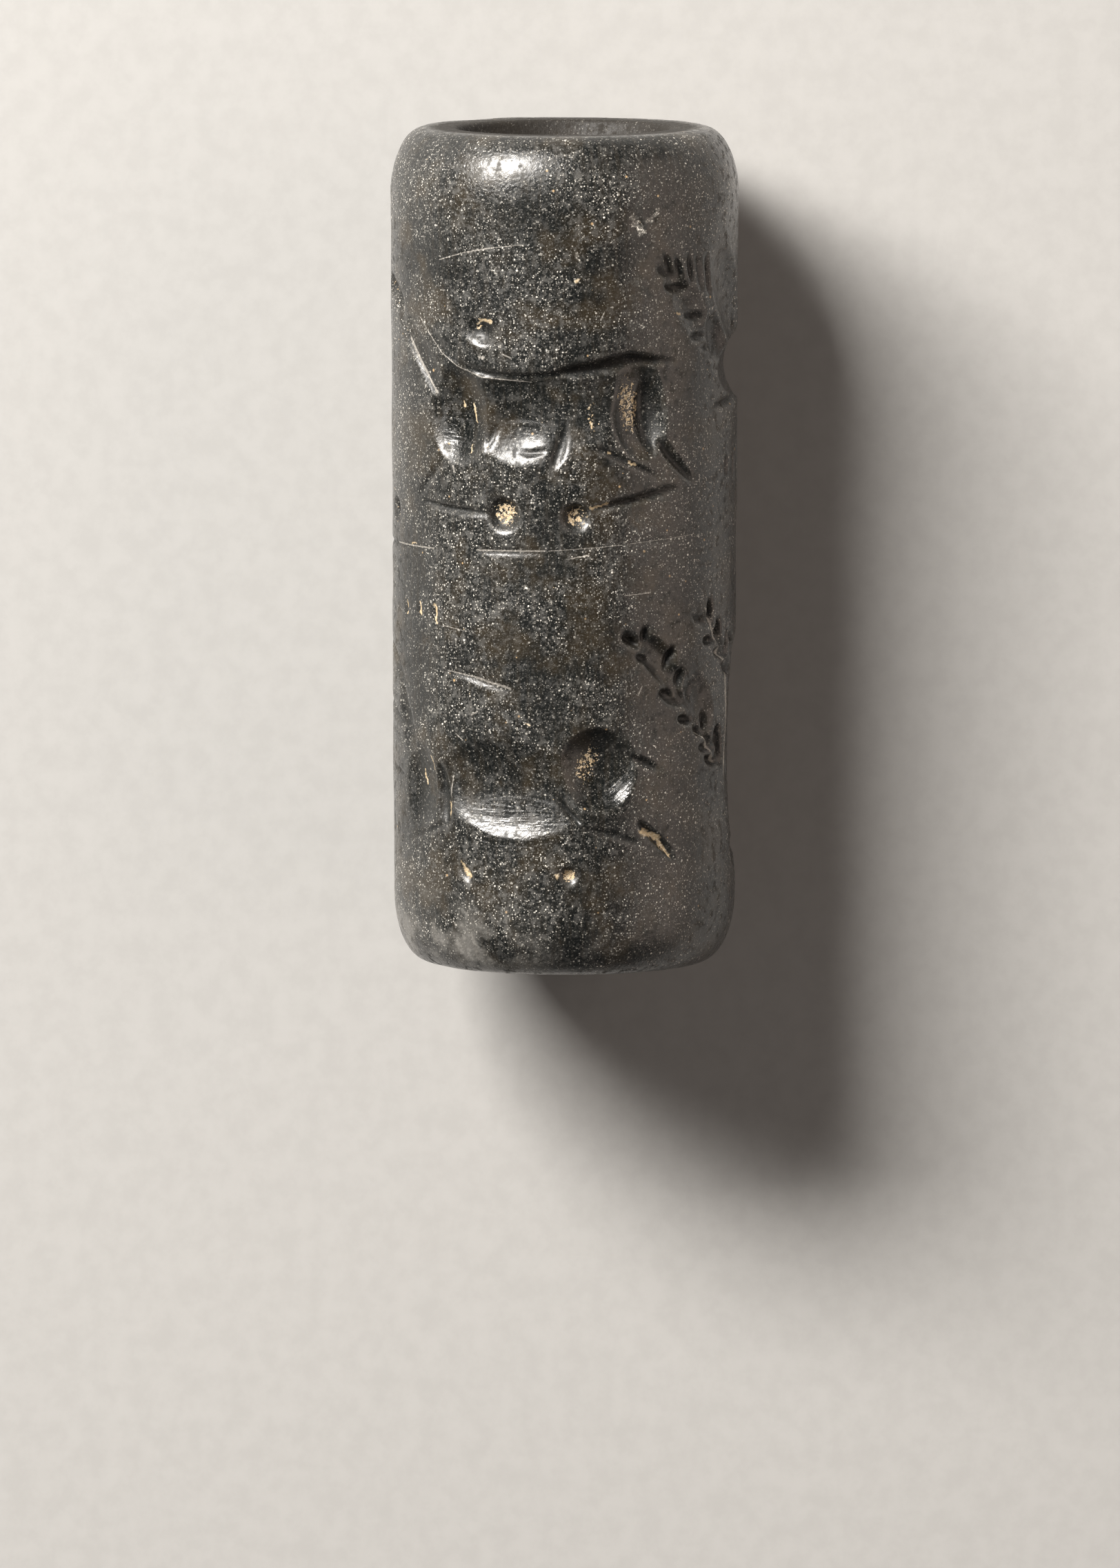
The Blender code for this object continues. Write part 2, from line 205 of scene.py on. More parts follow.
def row_of_cuts(count, first, last, half_width=0.17, deep=0.2, wobble=0.06):
    """Row of short cuts that changes evenly from the first one to the last one.

    The first and the last are each a start and an end.
    """
    for i in range(count):
        share = i / (count - 1)
        start = np.array(between(first[0], last[0], share)) + rng.normal(0, wobble, 2)
        end = np.array(between(first[1], last[1], share)) + rng.normal(0, wobble, 2)
        cut([start, (start + end) / 2, end], half_width, deep * rng.uniform(*UNEVEN_DEPTHS))


print("Tools: hollow, ribs, dust, ball, cut and row_of_cuts")

# %% [markdown]
# ## The upper register
# The goat at the front has a long hollow body with a crisp upper edge, a deep chest and
# haunch, and folded legs that end in drilled balls. A hollow is given by its centre, half its
# length, half its width and its depth; a ball by its centre, half its width and its depth; a
# cut by its path, half its width and its depth. Centres and paths are (around, along) in
# steps of the drawing.

# %% Upper goat at the front
back_line = [
    (-7.4, 29.3), (-7.0, 28.9), (-6.0, 27.8), (-5.0, 27.2), (-4.0, 26.85), (-3.0, 26.7), (-2.0, 26.65),
    (-1.0, 26.7), (0.0, 26.8), (1.0, 26.95), (2.0, 27.2), (3.0, 27.45), (4.0, 27.4), (5.3, 27.3),
]
# Chest
hollow((-5.0, 24.9), 1.7, 2.2, 0.6, power=0.9)
ribs((-5.0, 24.3), 1.3, 1.5, (-4.4, 36.0))
# Body and belly
hollow((-1.2, 25.3), 3.5, 2.55, 0.5, power=1.3, under=back_line)
hollow((-2.0, 24.7), 2.1, 1.9, 0.6, power=1.1)
cut([(-2.5, 23.5), (-1.6, 23.3), (-0.8, 23.45)], 0.16, 0.36, thin=0.7)
ribs((-2.0, 24.0), 1.6, 0.8, (-1.8, 60.0), 0.35)
# Grooves on both sides of the belly
hollow((-3.3, 24.3), 0.4, 1.1, 0.44, turn=-22.0, power=1.3)
hollow((-0.1, 24.0), 0.45, 1.6, 0.42, turn=-18.0, power=1.0)
# Loin and haunch
hollow((1.8, 26.2), 1.8, 1.6, 0.34, power=1.3, under=back_line)
hollow((3.4, 25.3), 1.3, 2.4, 0.6, turn=6.0, power=0.7)
hollow((3.9, 25.0), 0.85, 1.9, 0.86, turn=6.0, power=0.75)
# Neck and head
hollow((-7.2, 27.2), 2.3, 0.6, 0.2, turn=128.0)
hollow((-9.8, 29.8), 1.0, 0.5, 0.3, turn=140.0)
# Crisp line of the back, and the front of the neck
cut(back_line[:6], 0.1, 0.08, power=0.7)
cut(back_line[3:], 0.22, 0.26, power=0.7)
cut([(-0.5, 26.8), (1.5, 27.05), (3.0, 27.4), (4.4, 27.3)], 0.4, 0.46, power=0.7)
cut([(-10.0, 30.0), (-9.2, 28.7), (-8.2, 27.7), (-7.3, 26.8), (-6.2, 25.6)], 0.15, 0.24)
cut([(-8.7, 29.0), (-7.7, 28.9)], 0.12, 0.12)
# Muzzle, and a ball above the back
ball((-10.9, 30.25), 0.5, 0.45, dirt=0.5)
hollow((-3.85, 28.65), 0.85, 0.62, 0.32, turn=-20.0, power=1.1)
# Hind leg
cut([(1.15, 25.3), (1.25, 24.6), (1.65, 23.8)], 0.14, 0.24)
cut([(0.9, 23.6), (2.0, 23.3), (3.15, 22.75), (4.5, 22.15)], 0.13, 0.18)
cut([(4.0, 24.4), (5.05, 23.1), (6.4, 21.9)], 0.3, 0.3)
cut([(5.6, 21.65), (4.8, 21.6), (3.2, 21.2), (1.1, 20.8)], 0.2, 0.26)
# Foreleg
cut([(-5.9, 22.9), (-7.0, 21.9), (-7.6, 21.2)], 0.2, 0.14)
cut([(-7.3, 21.0), (-6.0, 20.75), (-3.5, 20.6)], 0.17, 0.22)
# Hoofs
ball((-2.75, 20.6), 0.75, 0.44, dirt=0.6)
ball((0.5, 20.5), 0.62, 0.42, dirt=0.6)
ball((-10.2, 20.4), 0.5, 0.34, dirt=0.4)
# Soil in the haunch
dust((3.1, 25.4), 0.7, 1.5, 0.45, turn=6.0)
dust((1.2, 24.9), 0.25, 0.8, 0.25)
print("Deepest cut so far:", round(float(depth.max()), 2), "mm")

# %% [markdown]
# ### The second goat
# It lies on the far side of the stone, and its head has worn away. It has the same build as
# the first, so it is cut with the same kinds of tools, further round.

# %% Upper goat at the back
# Chest, body and haunch
hollow((22.4, 24.6), 1.5, 1.9, 0.5, turn=10.0)
hollow((27.5, 24.9), 3.4, 1.6, 0.34, turn=1.0, power=0.9)
hollow((32.0, 25.9), 1.5, 2.2, 0.5, turn=8.0)
# Grooves of the chest, and the back
cut([(24.0, 26.2), (24.1, 24.8), (24.0, 23.4)], 0.2, 0.42)
cut([(25.1, 25.9), (25.1, 24.8), (24.9, 23.6)], 0.16, 0.36)
cut([(23.2, 26.6), (25.0, 26.6), (28.0, 26.5), (30.6, 27.2)], 0.24, 0.22)
# Foreleg
cut([(27.0, 22.4), (25.5, 22.8), (24.0, 22.7), (22.6, 22.1), (20.7, 21.4)], 0.26, 0.26)
cut([(20.7, 21.0), (21.4, 20.6), (24.0, 20.6), (26.2, 20.7)], 0.22, 0.24)
# Hind leg and hoof
cut([(29.4, 23.6), (31.4, 22.7)], 0.16, 0.2)
cut([(31.3, 24.2), (33.0, 22.8), (35.3, 21.2)], 0.32, 0.3)
cut([(32.0, 20.7), (35.3, 20.9)], 0.2, 0.22)
ball((29.2, 20.7), 0.58, 0.38, dirt=0.5)
# A small ball and a faint line above
ball((36.4, 32.6), 0.3, 0.22)
cut([(21.0, 33.5), (24.5, 33.5)], 0.1, 0.06)
print("Carved cells:", int((depth > 0.02).sum()))

# %% [markdown]
# ## The eagle
# The bird faces the viewer with spread wings. Its feathers are short cuts side by side, so
# rows of cuts lay them along each wing's edge and fan them out below the body as a tail.

# %% Eagle
# Head and beak
ball((13.9, 31.4), 0.62, 0.38)
cut([(13.0, 31.7), (13.4, 31.3), (13.7, 30.6)], 0.2, 0.34)
# Body and wings
hollow((13.6, 27.9), 1.35, 2.8, 0.62, power=0.8)
hollow((12.0, 26.7), 3.6, 1.5, 0.66, power=0.7)
hollow((9.9, 29.6), 3.3, 1.5, 0.44, turn=127.0, power=0.9)
hollow((8.3, 28.0), 1.5, 0.8, 0.42, turn=120.0, power=0.8)
hollow((17.2, 29.6), 3.0, 1.2, 0.22, turn=48.0, power=0.9)
hollow((6.3, 29.5), 1.7, 0.8, 0.22, turn=127.0)
# Feathers of the left wing
row_of_cuts(5, ((4.3, 31.2), (5.6, 30.9)), ((6.4, 28.5), (7.8, 28.5)), 0.3, 0.45, wobble=0.16)
row_of_cuts(3, ((7.0, 27.8), (8.4, 28.0)), ((8.0, 26.7), (9.9, 27.1)), 0.2, 0.3, wobble=0.14)
row_of_cuts(6, ((4.7, 32.0), (5.1, 31.1)), ((8.0, 31.8), (8.2, 29.9)), 0.2, 0.2)
row_of_cuts(4, ((9.9, 30.2), (10.4, 28.9)), ((12.2, 28.6), (12.4, 26.7)), 0.22, 0.5)
# Feathers of the right wing
row_of_cuts(6, ((20.2, 31.1), (22.0, 31.0)), ((16.9, 27.1), (18.1, 26.6)), 0.2, 0.26)
row_of_cuts(5, ((16.5, 30.5), (16.8, 29.1)), ((20.0, 31.7), (20.0, 30.5)), 0.18, 0.2)
# Legs
cut([(8.1, 25.1), (10.0, 25.2), (12.6, 25.7)], 0.26, 0.3)
cut([(13.6, 26.2), (15.0, 25.8), (17.2, 25.5)], 0.2, 0.22)
hollow((12.9, 24.8), 1.1, 1.0, 0.32)
# Tail
row_of_cuts(5, ((9.3, 22.9), (9.2, 21.9)), ((13.0, 23.6), (13.7, 20.9)), 0.2, 0.3)
row_of_cuts(4, ((14.0, 24.0), (15.0, 20.5)), ((15.9, 23.9), (16.8, 21.3)), 0.2, 0.34)
cut([(15.0, 24.6), (16.8, 23.4), (18.2, 22.0)], 0.42, 0.34)
print("Deepest cut so far:", round(float(depth.max()), 2), "mm")

# %% [markdown]
# ## The lower register
# Two more goats walk among plants. They are cut with the same tools as the upper ones, but
# each has its own pose, so they aren't copies made by a loop.

# %% Lower goat at the front
# Chest, body and haunch
hollow((-7.6, 8.2), 1.2, 2.0, 0.4, power=0.9)
hollow((-2.5, 8.4), 3.6, 2.2, 0.52, turn=-7.0, power=1.0)
ribs((-2.3, 6.9), 2.8, 1.1, (-2.3, 40.0), 0.7)
hollow((1.5, 9.25), 1.75, 1.9, 0.78, power=0.75)
ribs((2.0, 8.5), 1.6, 1.6, (0.0, 11.4))
# Folds of the chest and haunch
hollow((-6.0, 7.9), 0.4, 1.5, 0.3, turn=8.0)
cut([(-8.3, 5.9), (-7.0, 6.3), (-5.6, 6.8)], 0.17, 0.16)
cut([(0.8, 6.7), (2.4, 6.3), (3.6, 5.9)], 0.2, 0.14)
# Tail and hind leg
cut([(2.8, 9.9), (4.4, 9.2)], 0.22, 0.2)
cut([(3.4, 6.9), (4.2, 6.2), (5.4, 5.1)], 0.24, 0.3)
cut([(-0.5, 8.3), (0.0, 7.6), (0.7, 6.9)], 0.2, 0.4)
# Neck, horn and head
hollow((-8.9, 10.9), 1.5, 0.6, 0.26, turn=115.0)
cut([(-9.2, 10.7), (-10.9, 11.3), (-12.4, 11.8), (-13.9, 12.0)], 0.25, 0.28)
cut([(-9.0, 11.6), (-9.4, 12.8), (-10.3, 13.8), (-12.1, 14.4)], 0.22, 0.26)
ball((-14.1, 12.0), 0.45, 0.36)
# Forelegs
cut([(-11.0, 8.8), (-9.3, 8.5)], 0.15, 0.16)
cut([(-12.4, 8.9), (-12.3, 6.5)], 0.14, 0.14)
# Soil in the haunch, and the hoofs
dust((1.1, 9.5), 0.6, 1.0, 0.45, turn=-20.0)
ball((0.2, 4.6), 0.38, 0.3, dirt=1.0)
hollow((-4.7, 4.55), 0.56, 0.22, 0.24, turn=-53.0)
# A cut above the back, and small ticks beside the plant
cut([(-6.0, 13.5), (-4.6, 13.38), (-3.2, 13.0), (-2.1, 12.75)], 0.2, 0.11, thin=0.1)
for tick in (-8.85, -7.65, -6.5):
    cut([(tick, 16.4), (tick + 0.03, 15.7)], 0.12, 0.14)
cut([(-16.4, 16.2), (-15.2, 15.7), (-14.9, 15.1)], 0.14, 0.1)
cut([(-17.6, 14.1), (-16.9, 13.6)], 0.14, 0.1)
print("Carved cells:", int((depth > 0.02).sum()))

# %% Lower goat at the back
# Chest, body and haunch
hollow((20.3, 8.2), 1.3, 2.4, 0.55, turn=12.0)
hollow((24.6, 8.5), 3.0, 1.6, 0.42, turn=1.0, power=0.85)
hollow((28.9, 9.3), 1.7, 1.7, 0.56, power=0.6)
# Belly, legs and tail
belly_line = [
    (19.4, 5.8), (20.0, 5.8), (21.0, 6.3), (22.5, 6.7), (24.0, 6.6), (27.0, 7.0), (30.0, 6.4), (32.4, 5.0),
]
cut(belly_line, 0.25, 0.26)
cut([(29.3, 8.0), (31.0, 6.7), (32.8, 5.2)], 0.32, 0.32)
cut([(19.2, 4.7), (22.3, 4.6)], 0.24, 0.24)
cut([(30.2, 9.8), (31.7, 9.3)], 0.2, 0.22)
# Back
cut([(20.2, 11.3), (22.0, 10.3), (24.0, 10.0), (27.0, 10.2)], 0.22, 0.2)
# Hoofs
ball((22.8, 4.6), 0.5, 0.38)
ball((26.1, 4.6), 0.46, 0.36, dirt=0.6)
print("Carved cells:", int((depth > 0.02).sum()))

# %% [markdown]
# ### The plants
# A plant is a stem with leaves set along it like the bones of a fish. One function carves
# them all, and small random turns keep the leaves from looking stamped.

# %% Plants
STEM_HALF_WIDTH = 0.2
LEAF_START = 0.12
LEAF_HALF_WIDTH = 0.12
LEAF_SWAY = 11
LEAF_LENGTHS = (0.7, 1.2)
LEAF_DEPTHS = (0.75, 1.2)


def plant(foot, tip, pairs, leaf, left_turn, right_turn, deep, stem=0.6):
    """Stem from foot to tip with pairs of leaves. The turns are in degrees."""
    foot, tip = np.array(foot), np.array(tip)
    cut([foot, (foot + tip) / 2, tip], STEM_HALF_WIDTH, deep * stem)
    for i in range(pairs):
        joint = foot + (tip - foot) * (i + 0.5) / pairs
        for turn in (left_turn, right_turn):
            angle = math.radians(turn + rng.normal(0, LEAF_SWAY))
            reach = np.array((math.cos(angle), math.sin(angle)))
            end = joint + reach * leaf * rng.uniform(*LEAF_LENGTHS)
            start = joint + reach * LEAF_START
            path = [start, (start + end) / 2, end]
            cut(path, LEAF_HALF_WIDTH + deep / 3, deep * rng.uniform(*LEAF_DEPTHS))


# Two small plants on the right, in shallow hollows
hollow((4.6, 13.9), 1.5, 0.7, 0.36, turn=128.0, power=0.6)
hollow((6.9, 12.0), 1.6, 0.9, 0.3, turn=118.0, power=0.8)
plant((9.0, 8.8), (3.3, 15.0), 9, 1.25, 172.0, 82.0, 0.44)
plant((10.6, 12.7), (7.3, 15.9), 4, 1.2, 172.0, 82.0, 0.38)
# A tall plant in a long trough
hollow((11.9, 9.3), 5.4, 2.6, 0.38, turn=90.0, power=0.55)
plant((11.4, 4.4), (11.3, 14.2), 9, 2.0, 142.0, 15.0, 0.62)
# Two more small plants, and cuts at the feet
plant((13.9, 8.4), (18.9, 14.7), 7, 1.2, 108.0, -15.0, 0.2)
plant((13.5, 12.6), (16.4, 15.3), 3, 1.2, 108.0, -8.0, 0.2)
cut([(11.2, 4.3), (12.1, 4.5), (13.1, 4.9)], 0.26, 0.28)
cut([(13.0, 3.9), (13.4, 3.1)], 0.15, 0.14)
cut([(15.8, 2.9), (18.8, 3.1)], 0.14, 0.1)
print("Carved cells:", int((depth > 0.02).sum()))

# %% [markdown]
# ### The parting line
# A thin line parts the two registers. It was cut in touches that don't meet, so it is four
# cuts, not a groove turned round the stone. Two shallow chips lie near the top end.

# %% Line between the registers, and chips
CHIP_SIZE = (0.3, 0.4, 0.1)
cut([(-14.4, 18.7), (-10.0, 18.86), (-6.0, 18.9)], 0.14, 0.12)
cut([(-4.2, 18.93), (-2.6, 18.95), (-0.8, 18.98)], 0.13, 0.12)
cut([(-0.2, 19.0), (3.0, 19.3), (6.4, 19.5)], 0.1, 0.1)
cut([(17.0, 19.0), (20.0, 19.0), (23.2, 19.1)], 0.13, 0.12)
# A faint cut below the line, and the chips
cut([(2.8, 17.0), (4.0, 17.0)], 0.1, 0.08)
for chip in ((3.3, 33.35), (4.0, 33.65)):
    hollow(chip, *CHIP_SIZE, turn=60.0)
print("Carved cells:", int((depth > 0.02).sum()), "deepest", round(float(depth.max()), 2), "mm")

# %% [markdown]
# ## Wear
# Handling softened every rim of the real stone a little, and polishing left its skin not
# quite flat. The rims are softened by mixing each cell with its neighbours. The unevenness
# is random noise from which only waves of one size are kept, because plain noise looks like
# grain. Comparing the map with softer copies of itself finds the raised rims and the narrow
# cuts; the material paints a highlight on the rims and shade in the narrow cuts.

# %% Soften the rims and make the skin uneven
NEAR_PASSES = 4
WIDE_PASSES = 40
RIM_RISE = 0.05
NARROW_DEPTH = 0.07
NARROW_START = 0.2
SKIN_RISE = 0.012
# Each kind of wave has a size in steps and a height in millimetres.
BROAD_WAVES = (4.0, 0.012)
FINE_WAVES = (1.2, 0.0035)


def soften(field, passes):
    """Mix each cell with its neighbours; the map joins up with itself round the stone."""
    for _ in range(passes):
        field = (np.roll(field, 1, 1) + 2 * field + np.roll(field, -1, 1)) / 4
        padded = np.pad(field, ((1, 1), (0, 0)), mode="edge")
        field = (padded[:-2] + 2 * field + padded[2:]) / 4
    return field


def ripple(size, height):
    """Random ups and downs of about one size that join up round the stone."""
    noise = rng.normal(size=depth.shape)
    along = np.fft.fftfreq(ALONG_CELLS, CELL)[:, None]
    around = np.fft.rfftfreq(ROUND_CELLS, CELL)[None, :]
    keep = np.exp(-((along**2 + around**2) * size**2))
    wave = np.fft.irfft2(np.fft.rfft2(noise) * keep, s=depth.shape)
    return wave / wave.std() * height


depth = soften(depth, 2)
# Raised rims, which the material lightens as a painted highlight.
rim = np.clip((soften(depth, NEAR_PASSES) - depth) / RIM_RISE, 0, 1)
# Narrow cuts, which the material darkens as painted shade and makes duller.
narrow = np.clip((depth - soften(depth, WIDE_PASSES)) / NARROW_DEPTH - NARROW_START, 0, 1)
soil = soften(soil, 2)
tooled = soften(tooled, 3)
skin = depth + ripple(*BROAD_WAVES) + ripple(*FINE_WAVES) - SKIN_RISE
print("Unevenness of the skin:", round(float((skin - depth).std()), 4), "mm")

# %% [markdown]
# ## The sheet that becomes the stone
# An even grid fine enough for the smallest cut would be far too heavy. So the sheet's
# columns and rows lie closer together where there is more carving to show, and closer still
# at the front. Its columns run round the stone, and its rows run along the stone's outline:
# over the top shoulder, down the side, over the bottom shoulder, in at the mouth and back up
# the bore.

# %% Columns and rows of the sheet
COLUMNS = 336
SIDE_ROWS = 228
SHOULDER_ROWS = 13
EVEN_SHARE = 0.7
CARVED_SHARE = 0.5
FRONT_REACH = 13.0
FRONT_GAIN = 1.6
WEIGHT_PASSES = 40
HALF_TURN = STEPS_ROUND / 2


def spread(weight, count):
    """Places along a line that lie closer together where the weight is larger."""
    total = np.concatenate([[0.0], np.cumsum(weight)])
    return np.interp(np.linspace(0, total[-1], count + 1), total, np.arange(len(weight) + 1) * CELL)


slope_around = np.abs(np.roll(depth, -1, 1) - depth).mean(axis=0)
slope_along = np.abs(np.diff(depth, axis=0, append=depth[-1:])).mean(axis=1)
front_in_middle = np.roll(slope_around, ROUND_CELLS // 2)
from_front = np.abs((np.arange(ROUND_CELLS) + 0.5) * CELL - HALF_TURN)
column_weight = EVEN_SHARE + CARVED_SHARE * front_in_middle / front_in_middle.mean()
column_weight *= np.where(from_front < FRONT_REACH, FRONT_GAIN, 1.0)
columns = spread(soften(column_weight[None, :], WEIGHT_PASSES)[0], COLUMNS)[:-1] - HALF_TURN
row_weight = EVEN_SHARE + CARVED_SHARE * slope_along / slope_along.mean()
row_weight = soften(np.repeat(row_weight[:, None], 3, 1), WEIGHT_PASSES)[:, 0]
side_low = SHOULDER_ALONG / STEP
side_high = STEPS_ALONG - side_low
in_side = slice(int(side_low / CELL), int(side_high / CELL))
side_rows = np.clip(side_low + spread(row_weight[in_side], SIDE_ROWS), side_low, side_high) * STEP
gaps = np.diff(columns)
print("Columns are", round(float(gaps.min()), 3), "to", round(float(gaps.max()), 3), "steps apart")

# %% The stone's outline, from the top shoulder down and back up the bore
LIP_ROWS = 4
FUNNEL_ROWS = 10
BORE_ROWS = 10
FACE_SHARES = (0.4, 0.8)


def side_radius(z):
    """Radius of the uncarved side."""
    return BOTTOM_RADIUS + (TOP_RADIUS - BOTTOM_RADIUS) * z / LENGTH


def shoulder(radius, turns):
    """Worn end, from the side in towards the end face: (radius, distance from the end)."""
    return [
        (radius - SHOULDER_IN * (1 - math.cos(turn)), SHOULDER_ALONG * (1 - math.sin(turn)))
        for turn in turns
    ]


def end_and_mouth():
    """From the end face in to the bore: (radius, distance from the end)."""
    face_radius = BOTTOM_RADIUS - SHOULDER_IN
    points = [(face_radius + (MOUTH_RADIUS + LIP - face_radius) * share, 0.0) for share in FACE_SHARES]
    for i in range(LIP_ROWS + 1):
        turn = math.pi / 2 * i / LIP_ROWS
        points.append((MOUTH_RADIUS + LIP * (1 - math.sin(turn)), LIP * (1 - math.cos(turn))))
    for i in range(1, FUNNEL_ROWS + 1):
        share = i / FUNNEL_ROWS
        radius = BORE_RADIUS + (MOUTH_RADIUS - BORE_RADIUS) * (1 - share) ** 2
        points.append((radius, LIP + (FUNNEL_LENGTH - LIP) * share))
    return points


quarter = [math.pi / 2 * i / SHOULDER_ROWS for i in range(SHOULDER_ROWS + 1)]
outline = [(r, LENGTH - d) for r, d in shoulder(TOP_RADIUS, quarter[::-1])]
outline += [(side_radius(z), z) for z in side_rows[::-1][1:-1]]
outline += shoulder(BOTTOM_RADIUS, quarter)
carved_rows = len(outline)
inner = end_and_mouth()
bore_heights = np.linspace(FUNNEL_LENGTH, LENGTH - FUNNEL_LENGTH, BORE_ROWS)[1:-1]
outline += inner + [(BORE_RADIUS, z) for z in bore_heights]
outline += [(r, LENGTH - d) for r, d in reversed(inner)]
outline = np.array(outline)
across = np.roll(outline, -1, axis=0) - np.roll(outline, 1, axis=0)
normals = np.stack([-across[:, 1], across[:, 0]], axis=1)
normals = np.abs(normals / np.linalg.norm(normals, axis=1)[:, None])
print("The outline has", len(outline), "rows, so the sheet has", len(outline) * COLUMNS, "faces")

# %% Read the maps at the sheet's corners
SUNK_DEPTH = 0.25
UNDERSIDE = -0.9


def read(field, around, along):
    """Values of a map between its cells."""
    column = (around / CELL) % ROUND_CELLS
    row = np.clip(along / CELL, 0, ALONG_CELLS - 1.001)
    c0 = np.floor(column).astype(int) % ROUND_CELLS
    r0 = np.floor(row).astype(int)
    c1 = (c0 + 1) % ROUND_CELLS
    fc, fr = column % 1, row % 1
    lower = field[r0, c0] * (1 - fc) + field[r0, c1] * fc
    upper = field[r0 + 1, c0] * (1 - fc) + field[r0 + 1, c1] * fc
    return lower * (1 - fr) + upper * fr


carved = (np.arange(len(outline)) < carved_rows)[:, None]
ring_radius, ring_height = outline[:, :1], outline[:, 1:]
around, along = np.meshgrid(columns, outline[:, 1] / STEP)


def on_side(field):
    """Values of a map on the carved side, and zero on the ends and in the bore."""
    return read(field, around, along) * carved


turn = around * 2 * math.pi / STEPS_ROUND
cut_depth = on_side(skin)
radius = ring_radius - cut_depth * normals[:, :1]
height = ring_height - cut_depth * normals[:, 1:] * np.sign(ring_height - LENGTH / 2)
flat_radius = (MEAN_RADIUS - FLAT_DEPTH) / np.maximum(-np.cos(turn), 0.5)
flat_radius = flat_radius + side_radius(ring_height) - MEAN_RADIUS
radius = np.minimum(radius, np.where(np.cos(turn) < UNDERSIDE, flat_radius, np.inf))
print("Radius runs from", round(float(radius.min()), 2), "to", round(float(radius.max()), 2), "mm")

# %% Build the flat sheet
corner_values = {
    "turn": turn,
    "radius": radius * MM,
    "height": height * MM,
    "soil": on_side(soil),
    "tooled": on_side(tooled),
    "rings": read(rings, around, along),
    "sunk": np.clip(on_side(depth) / SUNK_DEPTH, 0, 1),
    "rim": on_side(rim),
    "narrow": on_side(narrow),
    "bore": np.where(carved, 0.0, 1.0) * np.ones_like(around),
}
index = np.arange(around.size).reshape(around.shape)
below = np.roll(index, -1, axis=0)
faces = np.stack([index, np.roll(index, -1, 1), np.roll(below, -1, 1), below], axis=-1).reshape(-1, 4)
flat = np.stack([around * MM, along * MM, np.zeros_like(around)], axis=-1).reshape(-1, 3)
sheet = bpy.data.meshes.new("seal sheet")
sheet.from_pydata(flat.tolist(), [], faces.tolist())
for name, values in corner_values.items():
    corners = sheet.attributes.new(name, "FLOAT", "POINT")
    corners.data.foreach_set("value", values.ravel().astype(np.float32))
stone_piece = bpy.data.objects.new("carved_stone", sheet)
bpy.context.scene.collection.objects.link(stone_piece)
print("The sheet has", len(sheet.polygons), "faces and", len(corner_values), "values at each corner")

# %% [markdown]
# ## Wrap the sheet with Geometry Nodes
# The sheet could be bent with a modifier, but it has to follow the stone's outline exactly.
# So every corner knows its turn round the axis, its distance from the axis and its height
# along it. The nodes set each corner's position from those three numbers and then lay the
# stone on its side.

# %% Helpers that build node trees from short lines
def add_node(tree, kind, inputs=(), **settings):
    """Add a node, set its choices and feed its inputs. Inputs are (socket, value or output)."""
    made = tree.nodes.new(kind)
    for name, value in settings.items():
        setattr(made, name, value)
    for socket, value in inputs:
        if isinstance(value, bpy.types.NodeSocket):
            tree.links.new(value, made.inputs[socket])
        else:
            made.inputs[socket].default_value = value
    return made


def maths(tree, operation, first, second=0.0):
    """One Math node; returns its output."""
    return add_node(tree, "ShaderNodeMath", [(0, first), (1, second)], operation=operation).outputs[0]


def times(tree, first, *others):
    """Product of several values."""
    for other in others:
        first = maths(tree, "MULTIPLY", first, other)
    return first


def scaled(tree, value, factor, offset=0.0):
    """Value times a factor plus an offset."""
    return maths(tree, "ADD", maths(tree, "MULTIPLY", value, factor), offset)


def combined(tree, x=0.0, y=0.0, z=0.0):
    """Vector made of three values."""
    return add_node(tree, "ShaderNodeCombineXYZ", [(0, x), (1, y), (2, z)]).outputs[0]


def add_inputs(tree, inputs):
    """Give a node group named inputs (name, kind of socket, default)."""
    for label, kind, default in inputs:
        socket = tree.interface.new_socket(label, in_out="INPUT", socket_type="NodeSocket" + kind)
        if default is not None:
            socket.default_value = default


print("Node helpers: add_node, maths, times, scaled, combined, add_inputs")

# %% Helpers for Geometry Nodes groups
def new_geometry_group(name, inputs):
    """Geometry group with a geometry in and out and more named inputs."""
    tree = bpy.data.node_groups.new(name, "GeometryNodeTree")
    add_inputs(tree, [("Geometry", "Geometry", None)] + inputs)
    tree.interface.new_socket("Geometry", in_out="OUTPUT", socket_type="NodeSocketGeometry")
    return tree, tree.nodes.new("NodeGroupInput").outputs


def stored(tree, name):
    """Value that the sheet stores at each corner."""
    inputs = [("Name", name)]
    return add_node(tree, "GeometryNodeInputNamedAttribute", inputs, data_type="FLOAT").outputs[0]


def finish_group(tree, geometry, material):
    """Make the geometry real, give it its material and hand it out of the group."""
    real = add_node(tree, "GeometryNodeRealizeInstances", [("Geometry", geometry)]).outputs[0]
    inputs = [("Geometry", real), ("Material", material)]
    painted = add_node(tree, "GeometryNodeSetMaterial", inputs).outputs[0]
    add_node(tree, "NodeGroupOutput", [("Geometry", painted)])


def use_group_once(obj, tree, values):
    """Run the group on an object and keep the result as the object's own plain mesh."""
    modifier = obj.modifiers.new(tree.name, "NODES")
    modifier.node_group = tree
    for item in tree.interface.items_tree:
        if item.in_out == "INPUT" and item.name in values:
            modifier[item.identifier] = values[item.name]
    graph = bpy.context.evaluated_depsgraph_get()
    made = obj.evaluated_get(graph)
    mesh = bpy.data.meshes.new_from_object(made, preserve_all_data_layers=True, depsgraph=graph)
    obj.modifiers.clear()
    obj.data = mesh


print("Group helpers: new_geometry_group, stored, finish_group, use_group_once")

